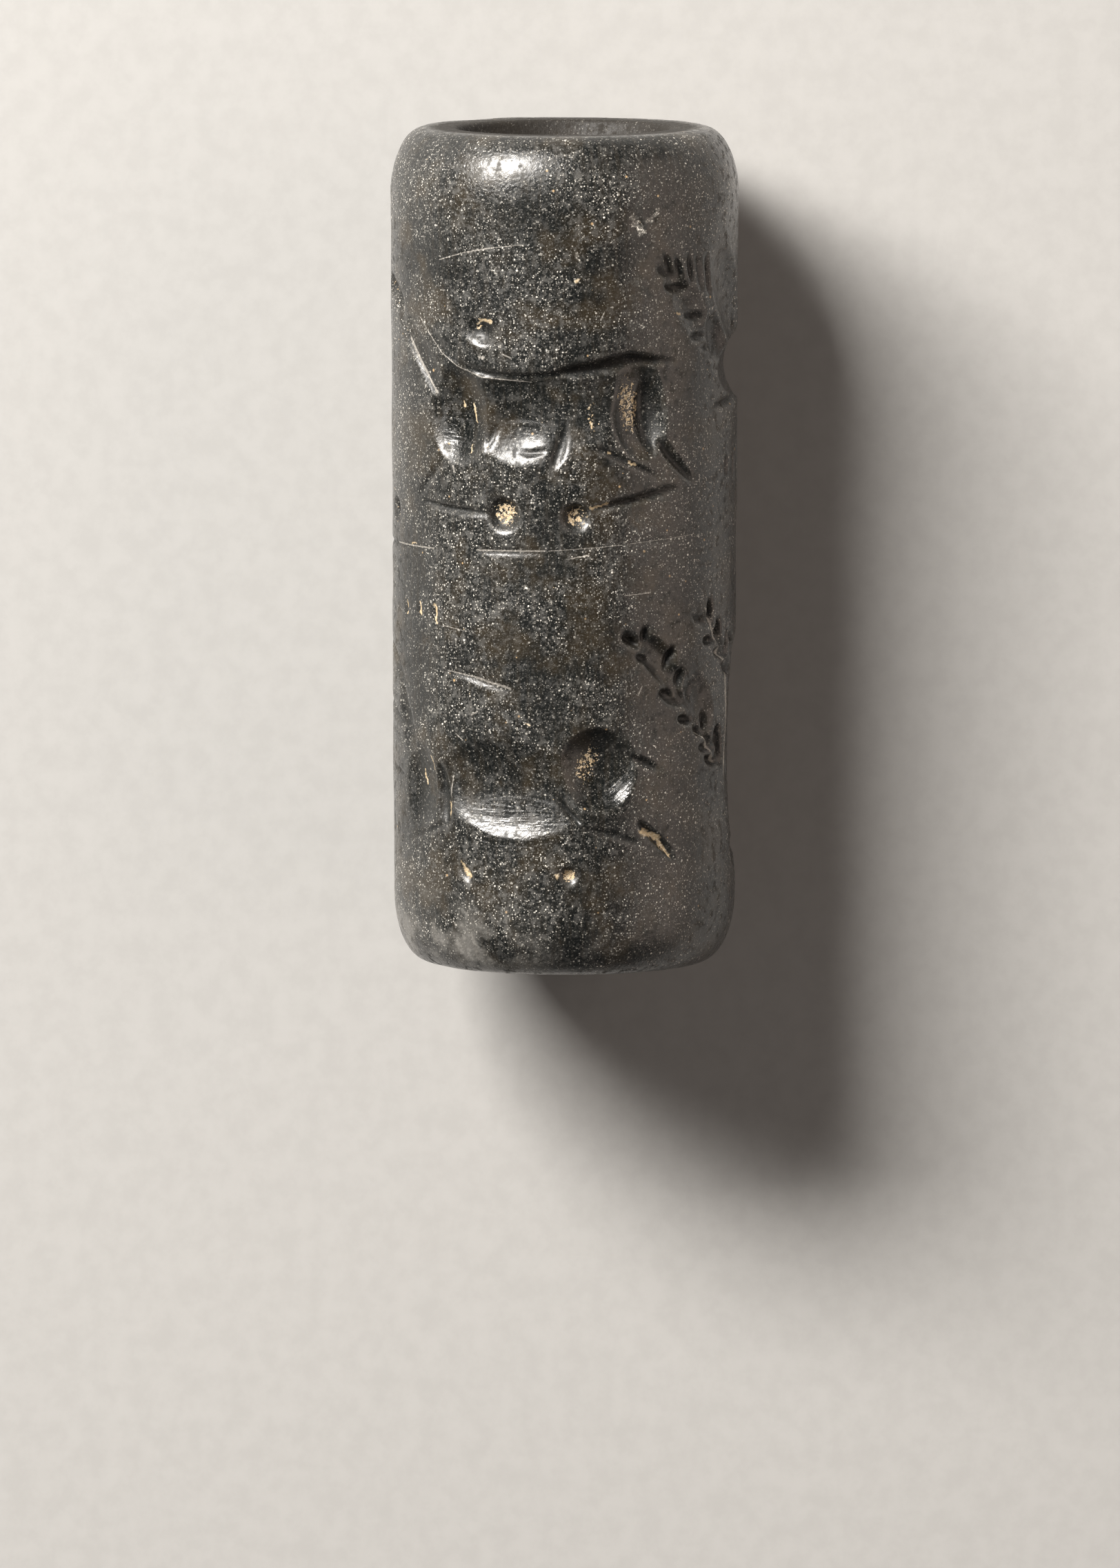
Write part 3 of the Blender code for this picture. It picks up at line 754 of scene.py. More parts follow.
# %% The group that wraps the sheet
wrap, given = new_geometry_group(
    "Wrap round the stone",
    [
        ("Half length", "Float", 0.0188),
        ("Axis height", "Float", 0.0077),
        ("Lie down", "Float", math.pi / 2),
        ("Stone", "Material", None),
    ],
)
outward, turned = stored(wrap, "radius"), stored(wrap, "turn")
place_x = times(wrap, maths(wrap, "COSINE", turned), outward, -1.0)
place_y = times(wrap, maths(wrap, "SINE", turned), outward, -1.0)
place_z = maths(wrap, "SUBTRACT", stored(wrap, "height"), given["Half length"])
inputs = [("Geometry", given["Geometry"]), ("Position", combined(wrap, place_x, place_y, place_z))]
rolled = add_node(wrap, "GeometryNodeSetPosition", inputs).outputs[0]
inputs = [
    ("Geometry", rolled),
    ("Translation", combined(wrap, z=given["Axis height"])),
    ("Rotation", combined(wrap, y=given["Lie down"])),
]
laid = add_node(wrap, "GeometryNodeTransform", inputs).outputs[0]
smooth = add_node(wrap, "GeometryNodeSetShadeSmooth", [("Geometry", laid)]).outputs[0]
finish_group(wrap, smooth, given["Stone"])
print("The wrapping group has", len(wrap.nodes), "nodes")

# %% [markdown]
# ## Shader groups
# Three effects come back again and again on the stone, in its soil and on the table: a
# cloudy mask made of noise between two limits, grains that fill a chosen share of the cells
# of a pattern, and a ragged scratch between two points. Each is built once as a group.

# %% Helpers for shader groups
def new_shader_group(name, inputs, outputs):
    """Shader group with named inputs and outputs; returns it, what it is given and its end."""
    tree = bpy.data.node_groups.new(name, "ShaderNodeTree")
    add_inputs(tree, inputs)
    for label in outputs:
        tree.interface.new_socket(label, in_out="OUTPUT", socket_type="NodeSocketFloat")
    return tree, tree.nodes.new("NodeGroupInput").outputs, tree.nodes.new("NodeGroupOutput").inputs


def vector_maths(tree, operation, first, second, output=0):
    """One Vector Math node; output 1 is the single number that some operations give."""
    inputs = [(0, first), (1, second)]
    return add_node(tree, "ShaderNodeVectorMath", inputs, operation=operation).outputs[output]


def ramp(tree, value, start, end, low=0.0, high=1.0, kind="LINEAR"):
    """Value taken from the range start to end into the range low to high."""
    inputs = [("Value", value), ("From Min", start), ("From Max", end), ("To Min", low), ("To Max", high)]
    return add_node(tree, "ShaderNodeMapRange", inputs, interpolation_type=kind).outputs[0]


def noise(tree, where, scale, detail, roughness=0.5, output="Fac"):
    """Noise texture at one scale."""
    inputs = [("Vector", where), ("Scale", scale), ("Detail", detail), ("Roughness", roughness)]
    return add_node(tree, "ShaderNodeTexNoise", inputs).outputs[output]


def clamped(tree, value):
    """Value kept between 0 and 1."""
    return add_node(tree, "ShaderNodeClamp", [("Value", value)]).outputs[0]


print("Shader helpers: new_shader_group, vector_maths, ramp, noise, clamped")

# %% Groups for clouds and grains
CLOUD_ROUGHNESS = 0.62
GRAIN_CORE = 0.45
clouds, given, end = new_shader_group(
    "Cloud mask",
    [
        ("Coordinates", "Vector", None),
        ("Scale", "Float", 500.0),
        ("Detail", "Float", 4.0),
        ("Low", "Float", 0.45),
        ("High", "Float", 0.6),
    ],
    ["Mask"],
)
billow = noise(clouds, given["Coordinates"], given["Scale"], given["Detail"], CLOUD_ROUGHNESS)
clouds.links.new(ramp(clouds, billow, given["Low"], given["High"], kind="SMOOTHSTEP"), end["Mask"])

grains, given, end = new_shader_group(
    "Scattered grains",
    [
        ("Coordinates", "Vector", None),
        ("Scale", "Float", 3000.0),
        ("Share", "Float", 0.2),
        ("Size", "Float", 0.3),
    ],
    ["Mask", "Random"],
)
inputs = [("Vector", given["Coordinates"]), ("Scale", given["Scale"])]
cells = add_node(grains, "ShaderNodeTexVoronoi", inputs).outputs
chance = add_node(grains, "ShaderNodeSeparateColor", [("Color", cells["Color"])]).outputs
filled = maths(grains, "LESS_THAN", chance["Red"], given["Share"])
grain_size = times(grains, given["Size"], maths(grains, "ADD", chance["Green"], 0.4))
edge = ramp(grains, cells["Distance"], grain_size, times(grains, grain_size, GRAIN_CORE))
grains.links.new(times(grains, edge, filled), end["Mask"])
grains.links.new(chance["Blue"], end["Random"])
print("Shader groups:", clouds.name, "and", grains.name)

# %% Group for a scratch
SCRATCH_CORE = 0.3
scratch, given, end = new_shader_group(
    "Ragged scratch",
    [
        ("Place", "Vector", None),
        ("Start", "Vector", None),
        ("Run", "Vector", None),
        ("Half width", "Float", 0.06),
        ("Unevenness", "Float", 0.0),
        ("Ragged", "Float", 0.5),
    ],
    ["Mask"],
)
reach = vector_maths(scratch, "SUBTRACT", given["Place"], given["Start"])
run_length = vector_maths(scratch, "DOT_PRODUCT", given["Run"], given["Run"], 1)
share = maths(scratch, "DIVIDE", vector_maths(scratch, "DOT_PRODUCT", reach, given["Run"], 1), run_length)
inputs = [(0, given["Run"]), ("Scale", clamped(scratch, share))]
nearest = add_node(scratch, "ShaderNodeVectorMath", inputs, operation="SCALE").outputs[0]
distance = vector_maths(scratch, "DISTANCE", reach, nearest, 1)
ragged = times(scratch, given["Unevenness"], given["Ragged"])
width = times(scratch, given["Half width"], maths(scratch, "ADD", ragged, 1.0))
side = ramp(scratch, distance, width, times(scratch, width, SCRATCH_CORE))
scratch.links.new(side, end["Mask"])
print("Shader group:", scratch.name)

# %% [markdown]
# ## The stone
# The real stone is nearly black with olive and brown clouds. Over them lies a dense pale
# mottle that gathers in patches, with flecks and a few tan grains. A picture of it would
# stretch on the round ends, so it is all made from noise that reads the place on the stone.
# Each layer is laid over the colour below through a mask.

# %% Helpers for materials
def new_material(name):
    """New material; returns it, its node tree and its Principled node."""
    material = bpy.data.materials.new(name)
    material.use_nodes = True
    tree = material.node_tree
    return material, tree, tree.nodes["Principled BSDF"]


def cloud(tree, where, scale, detail, low, high):
    """Cloudy mask at one scale, between two limits of the noise."""
    inputs = [("Coordinates", where), ("Scale", scale), ("Detail", detail), ("Low", low), ("High", high)]
    return add_node(tree, "ShaderNodeGroup", inputs, node_tree=clouds).outputs["Mask"]


def grain(tree, where, scale, share, size):
    """Mask and random value of grains at one scale."""
    inputs = [("Coordinates", where), ("Scale", scale), ("Share", share), ("Size", size)]
    made = add_node(tree, "ShaderNodeGroup", inputs, node_tree=grains).outputs
    return made["Mask"], made["Random"]


def mixed(tree, mask, under, over):
    """Lay one colour over another through a mask."""
    under, over = [(*layer, 1.0) if isinstance(layer, tuple) else layer for layer in (under, over)]
    inputs = [(0, mask), (6, under), (7, over)]
    return add_node(tree, "ShaderNodeMix", inputs, data_type="RGBA").outputs[2]


def read_value(tree, name):
    """Value that the mesh stores at each corner."""
    return add_node(tree, "ShaderNodeAttribute", attribute_name=name).outputs["Fac"]


print("Material helpers: new_material, cloud, grain, mixed, read_value")

# %% Colours of the stone
GROUND_DARK = (0.0035, 0.0042, 0.0039)
GROUND_LIGHT = (0.0070, 0.0076, 0.0070)
BROWN = (0.030, 0.022, 0.012)
HAZE = (0.024, 0.026, 0.026)
MOTTLE = (0.100, 0.096, 0.088)
FLECK_DULL = (0.07, 0.07, 0.065)
FLECK_PALE = (0.78, 0.74, 0.66)
TAN = (0.50, 0.34, 0.18)
BLOOM = (0.18, 0.172, 0.158)
# Pale colour of the scratches, also used for painted highlights along cut walls and on rims.
SCRATCH_AND_GLINT = (0.36, 0.335, 0.30)
SOIL = (0.47, 0.36, 0.22)
SOIL_PALE = (0.62, 0.53, 0.40)
BORE_DUST = (0.014, 0.011, 0.008)
print("The ground reflects", GROUND_DARK[1], "to", GROUND_LIGHT[1], "of the light")

# %% Ground, mottle and flecks
# A cloud has a scale, a detail, and the two limits of the noise between which it fades in.
BROAD_CLOUDS = (230.0, 2.0, 0.38, 0.66)
BROWN_CLOUDS = (390.0, 3.0, 0.47, 0.66)
PATCHES = (330.0, 4.0, 0.36, 0.66)
MOTTLING = (2600.0, 5.0, 0.48, 0.66)
FINE_MOTTLING = (9000.0, 2.0, 0.50, 0.66)
# Grains have a scale, a share of cells that are filled, and a size within the cell.
FLECK_SIZES = ((15000.0, 0.30, 0.55), (8000.0, 0.16, 0.40), (4600.0, 0.035, 0.26))
TAN_GRAINS = (3400.0, 0.025, 0.22)
# This power keeps the palest flecks rare.
PALE_POWER = 1.9
stone, tree, surface = new_material("dark polished stone")
where = add_node(tree, "ShaderNodeTexCoord").outputs["Object"]
sunk = read_value(tree, "sunk")
broad = cloud(tree, where, *BROAD_CLOUDS)
brown = cloud(tree, where, *BROWN_CLOUDS)
gather = times(tree, cloud(tree, where, *PATCHES), scaled(tree, sunk, -0.75, 1.0))
mottle = cloud(tree, where, *MOTTLING)
fine_mottle = cloud(tree, where, *FINE_MOTTLING)
colour = mixed(tree, broad, GROUND_DARK, GROUND_LIGHT)
colour = mixed(tree, scaled(tree, brown, 0.7), colour, BROWN)
colour = mixed(tree, times(tree, gather, scaled(tree, mottle, 0.30, 0.06)), colour, HAZE)
colour = mixed(tree, times(tree, mottle, scaled(tree, gather, 0.42, 0.10)), colour, MOTTLE)
colour = mixed(tree, times(tree, fine_mottle, scaled(tree, gather, 0.45, 0.12)), colour, MOTTLE)
flecks = []
for sizes in FLECK_SIZES:
    mask, chance = grain(tree, where, *sizes)
    tone = mixed(tree, maths(tree, "POWER", chance, PALE_POWER), FLECK_DULL, FLECK_PALE)
    flecks.append(times(tree, mask, scaled(tree, gather, 0.85, 0.25)))
    colour = mixed(tree, flecks[-1], colour, tone)
tan = grain(tree, where, *TAN_GRAINS)[0]
colour = mixed(tree, scaled(tree, tan, 0.8), colour, TAN)
print("Layers so far: ground, brown clouds, haze, two mottles, three sizes of flecks, tan grains")

# %% [markdown]
# ### Bloom and streaks
# The bottom end of the stone is whitish on the left, as a stone that has lain in the ground
# can be, and polishing left faint streaks along its length. Both follow the stone's form, so
# they read a place on the drawing, which is worked out from the place in space.

# %% Bloom at the bottom end, and streaks
BLOOM_CLOUDS = (560.0, 4.0, 0.42, 0.62)
STREAK_CLOUDS = (1.0, 4.0, 0.46, 0.66)
BLOOM_TOP = 4.2
BLOOM_FULL = 0.8
BLOOM_RIGHT = 0.5
BLOOM_LEFT = -5.0
STREAKS_ACROSS = 4.0
STREAKS_ALONG = 0.35
place = add_node(tree, "ShaderNodeSeparateXYZ", [(0, where)]).outputs
lifted = maths(tree, "SUBTRACT", place["Z"], AXIS_HEIGHT * MM)
side_angle = maths(tree, "ARCTAN2", times(tree, place["Y"], -1.0), lifted)
steps_around = times(tree, side_angle, STEPS_ROUND / (2 * math.pi))
steps_along = maths(tree, "ADD", maths(tree, "DIVIDE", place["X"], STEP * MM), STEPS_ALONG / 2)
drawing = combined(tree, steps_around, steps_along)
near_bottom = ramp(tree, steps_along, BLOOM_TOP, BLOOM_FULL, kind="SMOOTHSTEP")
near_left = ramp(tree, steps_around, BLOOM_RIGHT, BLOOM_LEFT, 0.1, 0.85, kind="SMOOTHSTEP")
bloom = cloud(tree, where, *BLOOM_CLOUDS)
bloom = times(tree, bloom, near_bottom, near_left, scaled(tree, mottle, 0.5, 0.85))
colour = mixed(tree, bloom, colour, BLOOM)
streak_across = times(tree, steps_around, STREAKS_ACROSS)
lengthwise = combined(tree, streak_across, times(tree, steps_along, STREAKS_ALONG))
streak = cloud(tree, lengthwise, *STREAK_CLOUDS)
colour = mixed(tree, scaled(tree, streak, 0.22), colour, BROWN)
print("Laid the bloom and the streaks")

# %% [markdown]
# ### Scratches, painted highlights, chips and marks of soil
# The real stone has fine pale scratches, a few chips and tan soil in its smallest cuts. Pale
# painted highlights lie along the walls of the neck cut, the back line, the parting line and
# a few small cuts, and down the ridge on the right, where light catches them. Most marks are
# thinner than the mesh can carry, so they are drawn on the surface. Each mark runs from a
# start to an end in steps of the drawing, and has half a width and a raggedness.

# %% Where the marks run
# Pale scratches, and painted highlights where light catches the walls of cuts.
SCRATCHES_AND_GLINTS = (
    ((-6.1, 31.7), (-4.6, 32.1), 0.03, 1.0),
    ((-4.6, 32.1), (-3.2, 32.35), 0.045, 1.0),
    ((-3.2, 32.35), (-1.9, 32.5), 0.03, 1.0),
    ((-4.1, 18.93), (-0.9, 18.98), 0.05, 0.6),
    ((-0.7, 18.98), (2.6, 19.2), 0.022, 1.0),
    ((3.0, 19.25), (6.4, 19.5), 0.022, 1.0),
    ((-10.2, 18.86), (-6.7, 18.86), 0.05, 0.8),
    ((-3.85, 27.5), (-3.7, 27.45), 0.12, 1.0),
    ((-2.8, 27.65), (-2.4, 27.5), 0.045, 0.6),
    ((1.6, 29.2), (1.75, 29.5), 0.04, 0.5),
    ((0.3, 18.65), (1.1, 18.8), 0.05, 1.0),
    ((2.7, 16.95), (4.0, 17.05), 0.045, 1.0),
    ((-6.0, 15.48), (-4.6, 15.3), 0.025, 1.0),
    ((-5.7, 13.5), (-4.2, 13.28), 0.05, 1.0),
    ((-4.2, 13.28), (-2.5, 12.85), 0.08, 0.7),
    ((-4.4, 11.6), (-4.1, 11.75), 0.05, 0.5),
    ((-5.2, 10.65), (-4.9, 10.45), 0.04, 0.5),
    ((3.4, 12.5), (3.6, 12.9), 0.04, 0.5),
    ((-5.35, 22.6), (-5.3, 22.35), 0.06, 0.6),
    ((-5.55, 8.8), (-5.7, 7.9), 0.05, 1.0),
    ((-9.9, 29.9), (-8.6, 28.1), 0.05, 0.6),
    ((-8.6, 28.1), (-6.4, 25.8), 0.07, 0.6),
    ((-7.5, 29.1), (-6.9, 28.5), 0.03, 1.0),
    ((-6.9, 28.5), (-6.0, 27.6), 0.035, 1.0),
    ((-6.0, 27.6), (-5.0, 27.0), 0.035, 1.0),
    ((-5.0, 27.0), (-3.8, 26.6), 0.035, 1.0),
    ((-3.8, 26.6), (-1.5, 26.42), 0.03, 1.0),
)
# Painted highlights down the ridge on the right, where light catches its edge.
RIDGE_HIGHLIGHTS = (
    ((7.4, 16.1), (8.5, 14.6), 0.08, 0.6),
    ((8.5, 14.6), (9.3, 13.2), 0.13, 0.6),
    ((9.3, 13.2), (9.4, 11.0), 0.15, 0.6),
    ((9.4, 11.0), (9.2, 9.2), 0.13, 0.6),
    ((9.2, 9.2), (9.7, 6.8), 0.12, 0.6),
    ((6.6, 10.9), (7.6, 10.1), 0.05, 0.8),
    ((7.6, 10.1), (8.5, 9.2), 0.08, 0.6),
)
CHIPS = (
    ((3.1, 33.6), (3.5, 33.1), 0.19, 1.0),
    ((3.0, 33.75), (3.15, 33.3), 0.13, 1.0),
    ((3.8, 33.55), (4.2, 33.9), 0.19, 1.0),
    ((0.5, 32.1), (0.7, 31.8), 0.09, 1.0),
    ((-1.8, 17.4), (-1.6, 17.2), 0.16, 1.0),
)
SOIL_MARKS = (
    ((-4.15, 29.0), (-3.3, 29.12), 0.08, 1.0),
    ((-4.1, 28.85), (-3.95, 28.8), 0.07, 1.0),
    ((-8.85, 16.35), (-8.8, 15.8), 0.06, 1.0),
    ((-7.65, 16.4), (-7.6, 15.9), 0.09, 0.8),
    ((-6.55, 16.4), (-6.45, 15.6), 0.09, 0.8),
    ((3.6, 6.5), (4.5, 6.0), 0.17, 0.6),
    ((4.5, 6.0), (5.2, 5.3), 0.10, 1.0),
    ((-5.75, 7.65), (-5.65, 7.1), 0.12, 1.0),
    ((-7.8, 8.9), (-7.7, 8.2), 0.07, 1.0),
    ((-6.9, 9.6), (-6.7, 9.0), 0.07, 1.0),
    ((-4.95, 4.9), (-4.6, 4.35), 0.14, 1.0),
    ((-0.42, 4.55), (-0.38, 4.5), 0.12, 0.6),
    ((-5.1, 25.4), (-5.0, 25.2), 0.09, 1.0),
    ((-4.6, 25.4), (-4.4, 24.6), 0.06, 1.0),
    ((-4.5, 23.7), (-4.5, 23.2), 0.05, 1.0),
    ((1.2, 24.65), (1.3, 24.4), 0.08, 0.8),
    ((2.0, 23.3), (2.1, 23.25), 0.07, 0.6),
    ((2.95, 22.88), (3.35, 22.7), 0.08, 1.0),
    ((1.15, 20.95), (2.0, 21.1), 0.11, 1.0),
    ((-8.5, 18.9), (-8.0, 18.88), 0.05, 0.8),
    ((-11.0, 30.4), (-10.6, 30.2), 0.14, 1.0),
    ((-9.2, 28.8), (-8.9, 28.4), 0.07, 0.8),
    ((0.5, 30.9), (0.6, 31.0), 0.07, 0.4),
    ((5.4, 29.3), (5.6, 29.2), 0.09, 0.8),
    ((-1.7, 11.2), (-1.65, 11.2), 0.07, 0.4),
)
print("Marks:", sum(len(marks) for marks in (SCRATCHES_AND_GLINTS, RIDGE_HIGHLIGHTS, CHIPS, SOIL_MARKS)))

# %% Draw the marks
WANDER = (0.6, 0.6, 0.0)
MIDDLE_GREY = (0.5, 0.5, 0.5)
unevenness = scaled(tree, noise(tree, drawing, 7.0, 3.0), 3.4, -1.8)
wander = noise(tree, drawing, 1.7, 3.0, output="Color")
wander = vector_maths(tree, "MULTIPLY", vector_maths(tree, "SUBTRACT", wander, MIDDLE_GREY), WANDER)
wandering = vector_maths(tree, "ADD", drawing, wander)


def draw_marks(tree, lines, on):
    """One mask for a set of marks, on straight or on wandering coordinates."""
    total = None
    for start, end, half_width, ragged in lines:
        inputs = [
            ("Place", on), ("Start", (*start, 0.0)), ("Run", (end[0] - start[0], end[1] - start[1], 0.0)),
            ("Half width", half_width), ("Unevenness", unevenness), ("Ragged", ragged),
        ]
        mask = add_node(tree, "ShaderNodeGroup", inputs, node_tree=scratch).outputs["Mask"]
        total = maths(tree, "MAXIMUM", total, mask) if total else mask
    return total


narrow_cut = read_value(tree, "narrow")
# Painted shade: the narrow cuts are darkened towards the dark ground colour.
colour = mixed(tree, scaled(tree, narrow_cut, 0.65), colour, GROUND_DARK)
# The pale scratches, and the painted highlights along cut walls.
scratch_and_glint_mask = times(tree, draw_marks(tree, SCRATCHES_AND_GLINTS, drawing), scaled(tree, fine_mottle, 0.5, 0.45))
colour = mixed(tree, scratch_and_glint_mask, colour, SCRATCH_AND_GLINT)
chipped = times(tree, draw_marks(tree, CHIPS, wandering), scaled(tree, fine_mottle, 0.9, 0.12))
colour = mixed(tree, chipped, colour, FLECK_PALE)
# Painted highlight down the ridge on the right, in the pale fleck colour.
ridge_highlight = times(tree, draw_marks(tree, RIDGE_HIGHLIGHTS, drawing), scaled(tree, fine_mottle, 0.3, 0.3))
colour = mixed(tree, ridge_highlight, colour, FLECK_PALE)
# Painted highlight: the raised rims of the cuts are lightened.
colour = mixed(tree, scaled(tree, read_value(tree, "rim"), 0.09), colour, SCRATCH_AND_GLINT)
print("The stone material has", len(tree.nodes), "nodes so far")

# %% [markdown]
# ### Soil and dust
# Soil sits in the drilled balls in crumbly patches with ragged edges. A soft patch alone
# would look painted, so noise is added to the amount of soil and cut off sharply. The bore
# is dull with dust.

# %% Soil in the pits and dust in the bore
CRUMBLY_EDGE = 12.0
CRUMBLY_START = 0.68
lodged = read_value(tree, "soil")
crumbly = maths(tree, "ADD", noise(tree, where, 6500.0, 3.0), times(tree, lodged, 0.40))
crumbly = clamped(tree, scaled(tree, crumbly, CRUMBLY_EDGE, -CRUMBLY_EDGE * CRUMBLY_START))
soiled = times(tree, crumbly, maths(tree, "MINIMUM", times(tree, lodged, 8.0), 1.0))
soiled = maths(tree, "MAXIMUM", soiled, times(tree, draw_marks(tree, SOIL_MARKS, wandering), 0.9))
colour = mixed(tree, soiled, colour, mixed(tree, fine_mottle, SOIL, SOIL_PALE))
bore = read_value(tree, "bore")
colour = mixed(tree, times(tree, bore, 0.8), colour, BORE_DUST)
tree.links.new(colour, surface.inputs["Base Color"])
print("Laid the soil and the dust")

# %% [markdown]
# ### Gloss
# The polish lies over a duller ground: a wide soft shine with a sharper one on top. The
# shine is weaker on the mottle, in narrow cuts, on soil and in the bore. So the base is
# rough by how much of each is there, and the coat stands for the polish and is thinned by
# the same masks.

# %% Dull ground and polish over it
GROUND_ROUGHNESS = 0.28
POLISH = 0.5
ribbed = read_value(tree, "tooled")
rough = scaled(tree, mottle, 0.30, GROUND_ROUGHNESS)
for mask, dulling in (
    (fine_mottle, 0.12), (streak, 0.08), (narrow_cut, 0.25), (ribbed, -0.12),
    (soiled, 0.45), (scratch_and_glint_mask, 0.2), (bore, 0.3),
):
    rough = maths(tree, "ADD", rough, times(tree, mask, dulling))
polish = scaled(tree, mottle, -POLISH, POLISH)
for mask, loss in ((soiled, 1.0), (bore, 1.0), (narrow_cut, 0.75), (ribbed, 0.7)):
    polish = times(tree, polish, scaled(tree, mask, -loss, 1.0))
tree.links.new(rough, surface.inputs["Roughness"])
tree.links.new(polish, surface.inputs["Coat Weight"])
surface.inputs["IOR"].default_value = 1.42
surface.inputs["Coat Roughness"].default_value = 0.26
print("Laid the gloss")

# %% [markdown]
# ### Fine bumps
# Under a lens the skin is a little rough, and inside the hollows it shows the arcs of the
# carver's tool. The arcs are noise stretched along rings round a point, and everything here
# is too shallow for the mesh, so it is a bump.

# %% Fine bumps of the stone
BUMP_HEIGHT = 0.000015
fine = noise(tree, where, 7000.0, 2.0)
arcs = combined(tree, times(tree, read_value(tree, "rings"), 5.0), times(tree, steps_around, 0.7))
tool_lines = times(tree, noise(tree, arcs, 1.0, 2.0), 3.0, ribbed)
relief = maths(tree, "ADD", times(tree, fine, scaled(tree, sunk, -1.1, 2.0)), tool_lines)
relief = maths(tree, "ADD", relief, times(tree, flecks[1], 1.4))
relief = maths(tree, "ADD", relief, times(tree, lodged, 0.8))
bump = add_node(tree, "ShaderNodeBump", [("Height", relief), ("Strength", 1.0), ("Distance", BUMP_HEIGHT)])
tree.links.new(bump.outputs[0], surface.inputs["Normal"])
print("The stone material has", len(tree.nodes), "nodes")

# %% [markdown]
# ### The finished stone
# The group runs once on the sheet, and the result is kept as a plain mesh, which stands in
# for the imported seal. A sheet wrapped inside out would look right but be stored wrongly, so
# the sign of its volume is checked.

# %% Wrap the sheet and keep the result as a plain mesh
use_group_once(
    stone_piece,
    wrap,
    {
        "Half length": LENGTH / 2 * MM,
        "Axis height": AXIS_HEIGHT * MM,
        "Lie down": math.pi / 2 - LEAN,
        "Stone": stone,
    },
)
bm = bmesh.new()
bm.from_mesh(stone_piece.data)
if bm.calc_volume(signed=True) < 0:
    bmesh.ops.reverse_faces(bm, faces=bm.faces)
bm.to_mesh(stone_piece.data)
open_edges = sum(not edge.is_manifold for edge in bm.edges)
print("Open edges:", open_edges, "volume in mm3:", round(bm.calc_volume() / MM**3, 1))
bm.free()
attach(stone_piece, "root")
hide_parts("seal")

# %% [markdown]
# ## Crumbs of soil
# In the real balls the soil stands up in crumbs. They could be a bump, but a crumb throws a
# small shadow that a bump can't. So Geometry Nodes scatter flattened crumbs over the places
# where soil is lodged. A fixed seed keeps them the same each time.

# %% Soil material
CRUMB_DARK = (0.22, 0.165, 0.105)
CRUMB_LIGHT = (0.50, 0.41, 0.30)
GRIT = (0.66, 0.60, 0.50)
SHADE_CLOUDS = (4200.0, 3.0, 0.35, 0.65)
GRIT_GRAINS = (9000.0, 0.3, 0.4)
soil_material, tree, surface = new_material("lodged soil")
where = add_node(tree, "ShaderNodeTexCoord").outputs["Object"]
shade = cloud(tree, where, *SHADE_CLOUDS)
grit = grain(tree, where, *GRIT_GRAINS)[0]
colour = mixed(tree, shade, CRUMB_DARK, CRUMB_LIGHT)
colour = mixed(tree, times(tree, grit, 0.6), colour, GRIT)
tree.links.new(colour, surface.inputs["Base Color"])
surface.inputs["Roughness"].default_value = 0.9
print("The soil material has", len(tree.nodes), "nodes")

# %% The group that scatters the crumbs
SMALLEST_CRUMB = (0.35, 0.35, 0.25)
LARGEST_CRUMB = (1.3, 1.3, 0.7)
CRUMB_CORNERS = 12
scatter, given = new_geometry_group(
    "Scatter crumbs",
    [
        ("Crumbs per square metre", "Float", 2.5e8),
        ("Crumb size", "Float", 0.00004),
        ("Seed", "Int", 5),
        ("Material", "Material", None),
    ],
)
packed_in = maths(scatter, "POWER", maths(scatter, "MINIMUM", stored(scatter, "soil"), 1.0), 2.0)
density = times(scatter, packed_in, given["Crumbs per square metre"])
inputs = [("Mesh", given["Geometry"]), ("Density", density), ("Seed", given["Seed"])]
points = add_node(scatter, "GeometryNodeDistributePointsOnFaces", inputs).outputs
inputs = [("Radius", given["Crumb size"]), ("Subdivisions", 1)]
crumb = add_node(scatter, "GeometryNodeMeshIcoSphere", inputs).outputs["Mesh"]
inputs = [("Min", SMALLEST_CRUMB), ("Max", LARGEST_CRUMB), ("Seed", given["Seed"])]
sizes = add_node(scatter, "FunctionNodeRandomValue", inputs, data_type="FLOAT_VECTOR").outputs[0]
inputs = [
    ("Points", points["Points"]),
    ("Instance", crumb),
    ("Rotation", points["Rotation"]),
    ("Scale", sizes),
]
placed = add_node(scatter, "GeometryNodeInstanceOnPoints", inputs).outputs[0]
finish_group(scatter, placed, given["Material"])
crumbs_piece = bpy.data.objects.new("soil_crumbs", stone_piece.data.copy())
bpy.context.scene.collection.objects.link(crumbs_piece)
use_group_once(
    crumbs_piece,
    scatter,
    {"Crumbs per square metre": 2.5e8, "Crumb size": 0.00004, "Seed": 5, "Material": soil_material},
)
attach(crumbs_piece, "root")
print("Crumbs:", len(crumbs_piece.data.vertices) // CRUMB_CORNERS)

# %% [markdown]
# ## Table, lights and camera
# The stone lies on a plain pale table. A soft lamp stands beyond the top end, a little to
# the left, and a long dim panel on the right draws a quiet band of reflection down the side.
# A polished thing shows the shape of its lamps, so both are large and plain. The camera
# looks almost straight down, so the top end with its bore points up the picture.

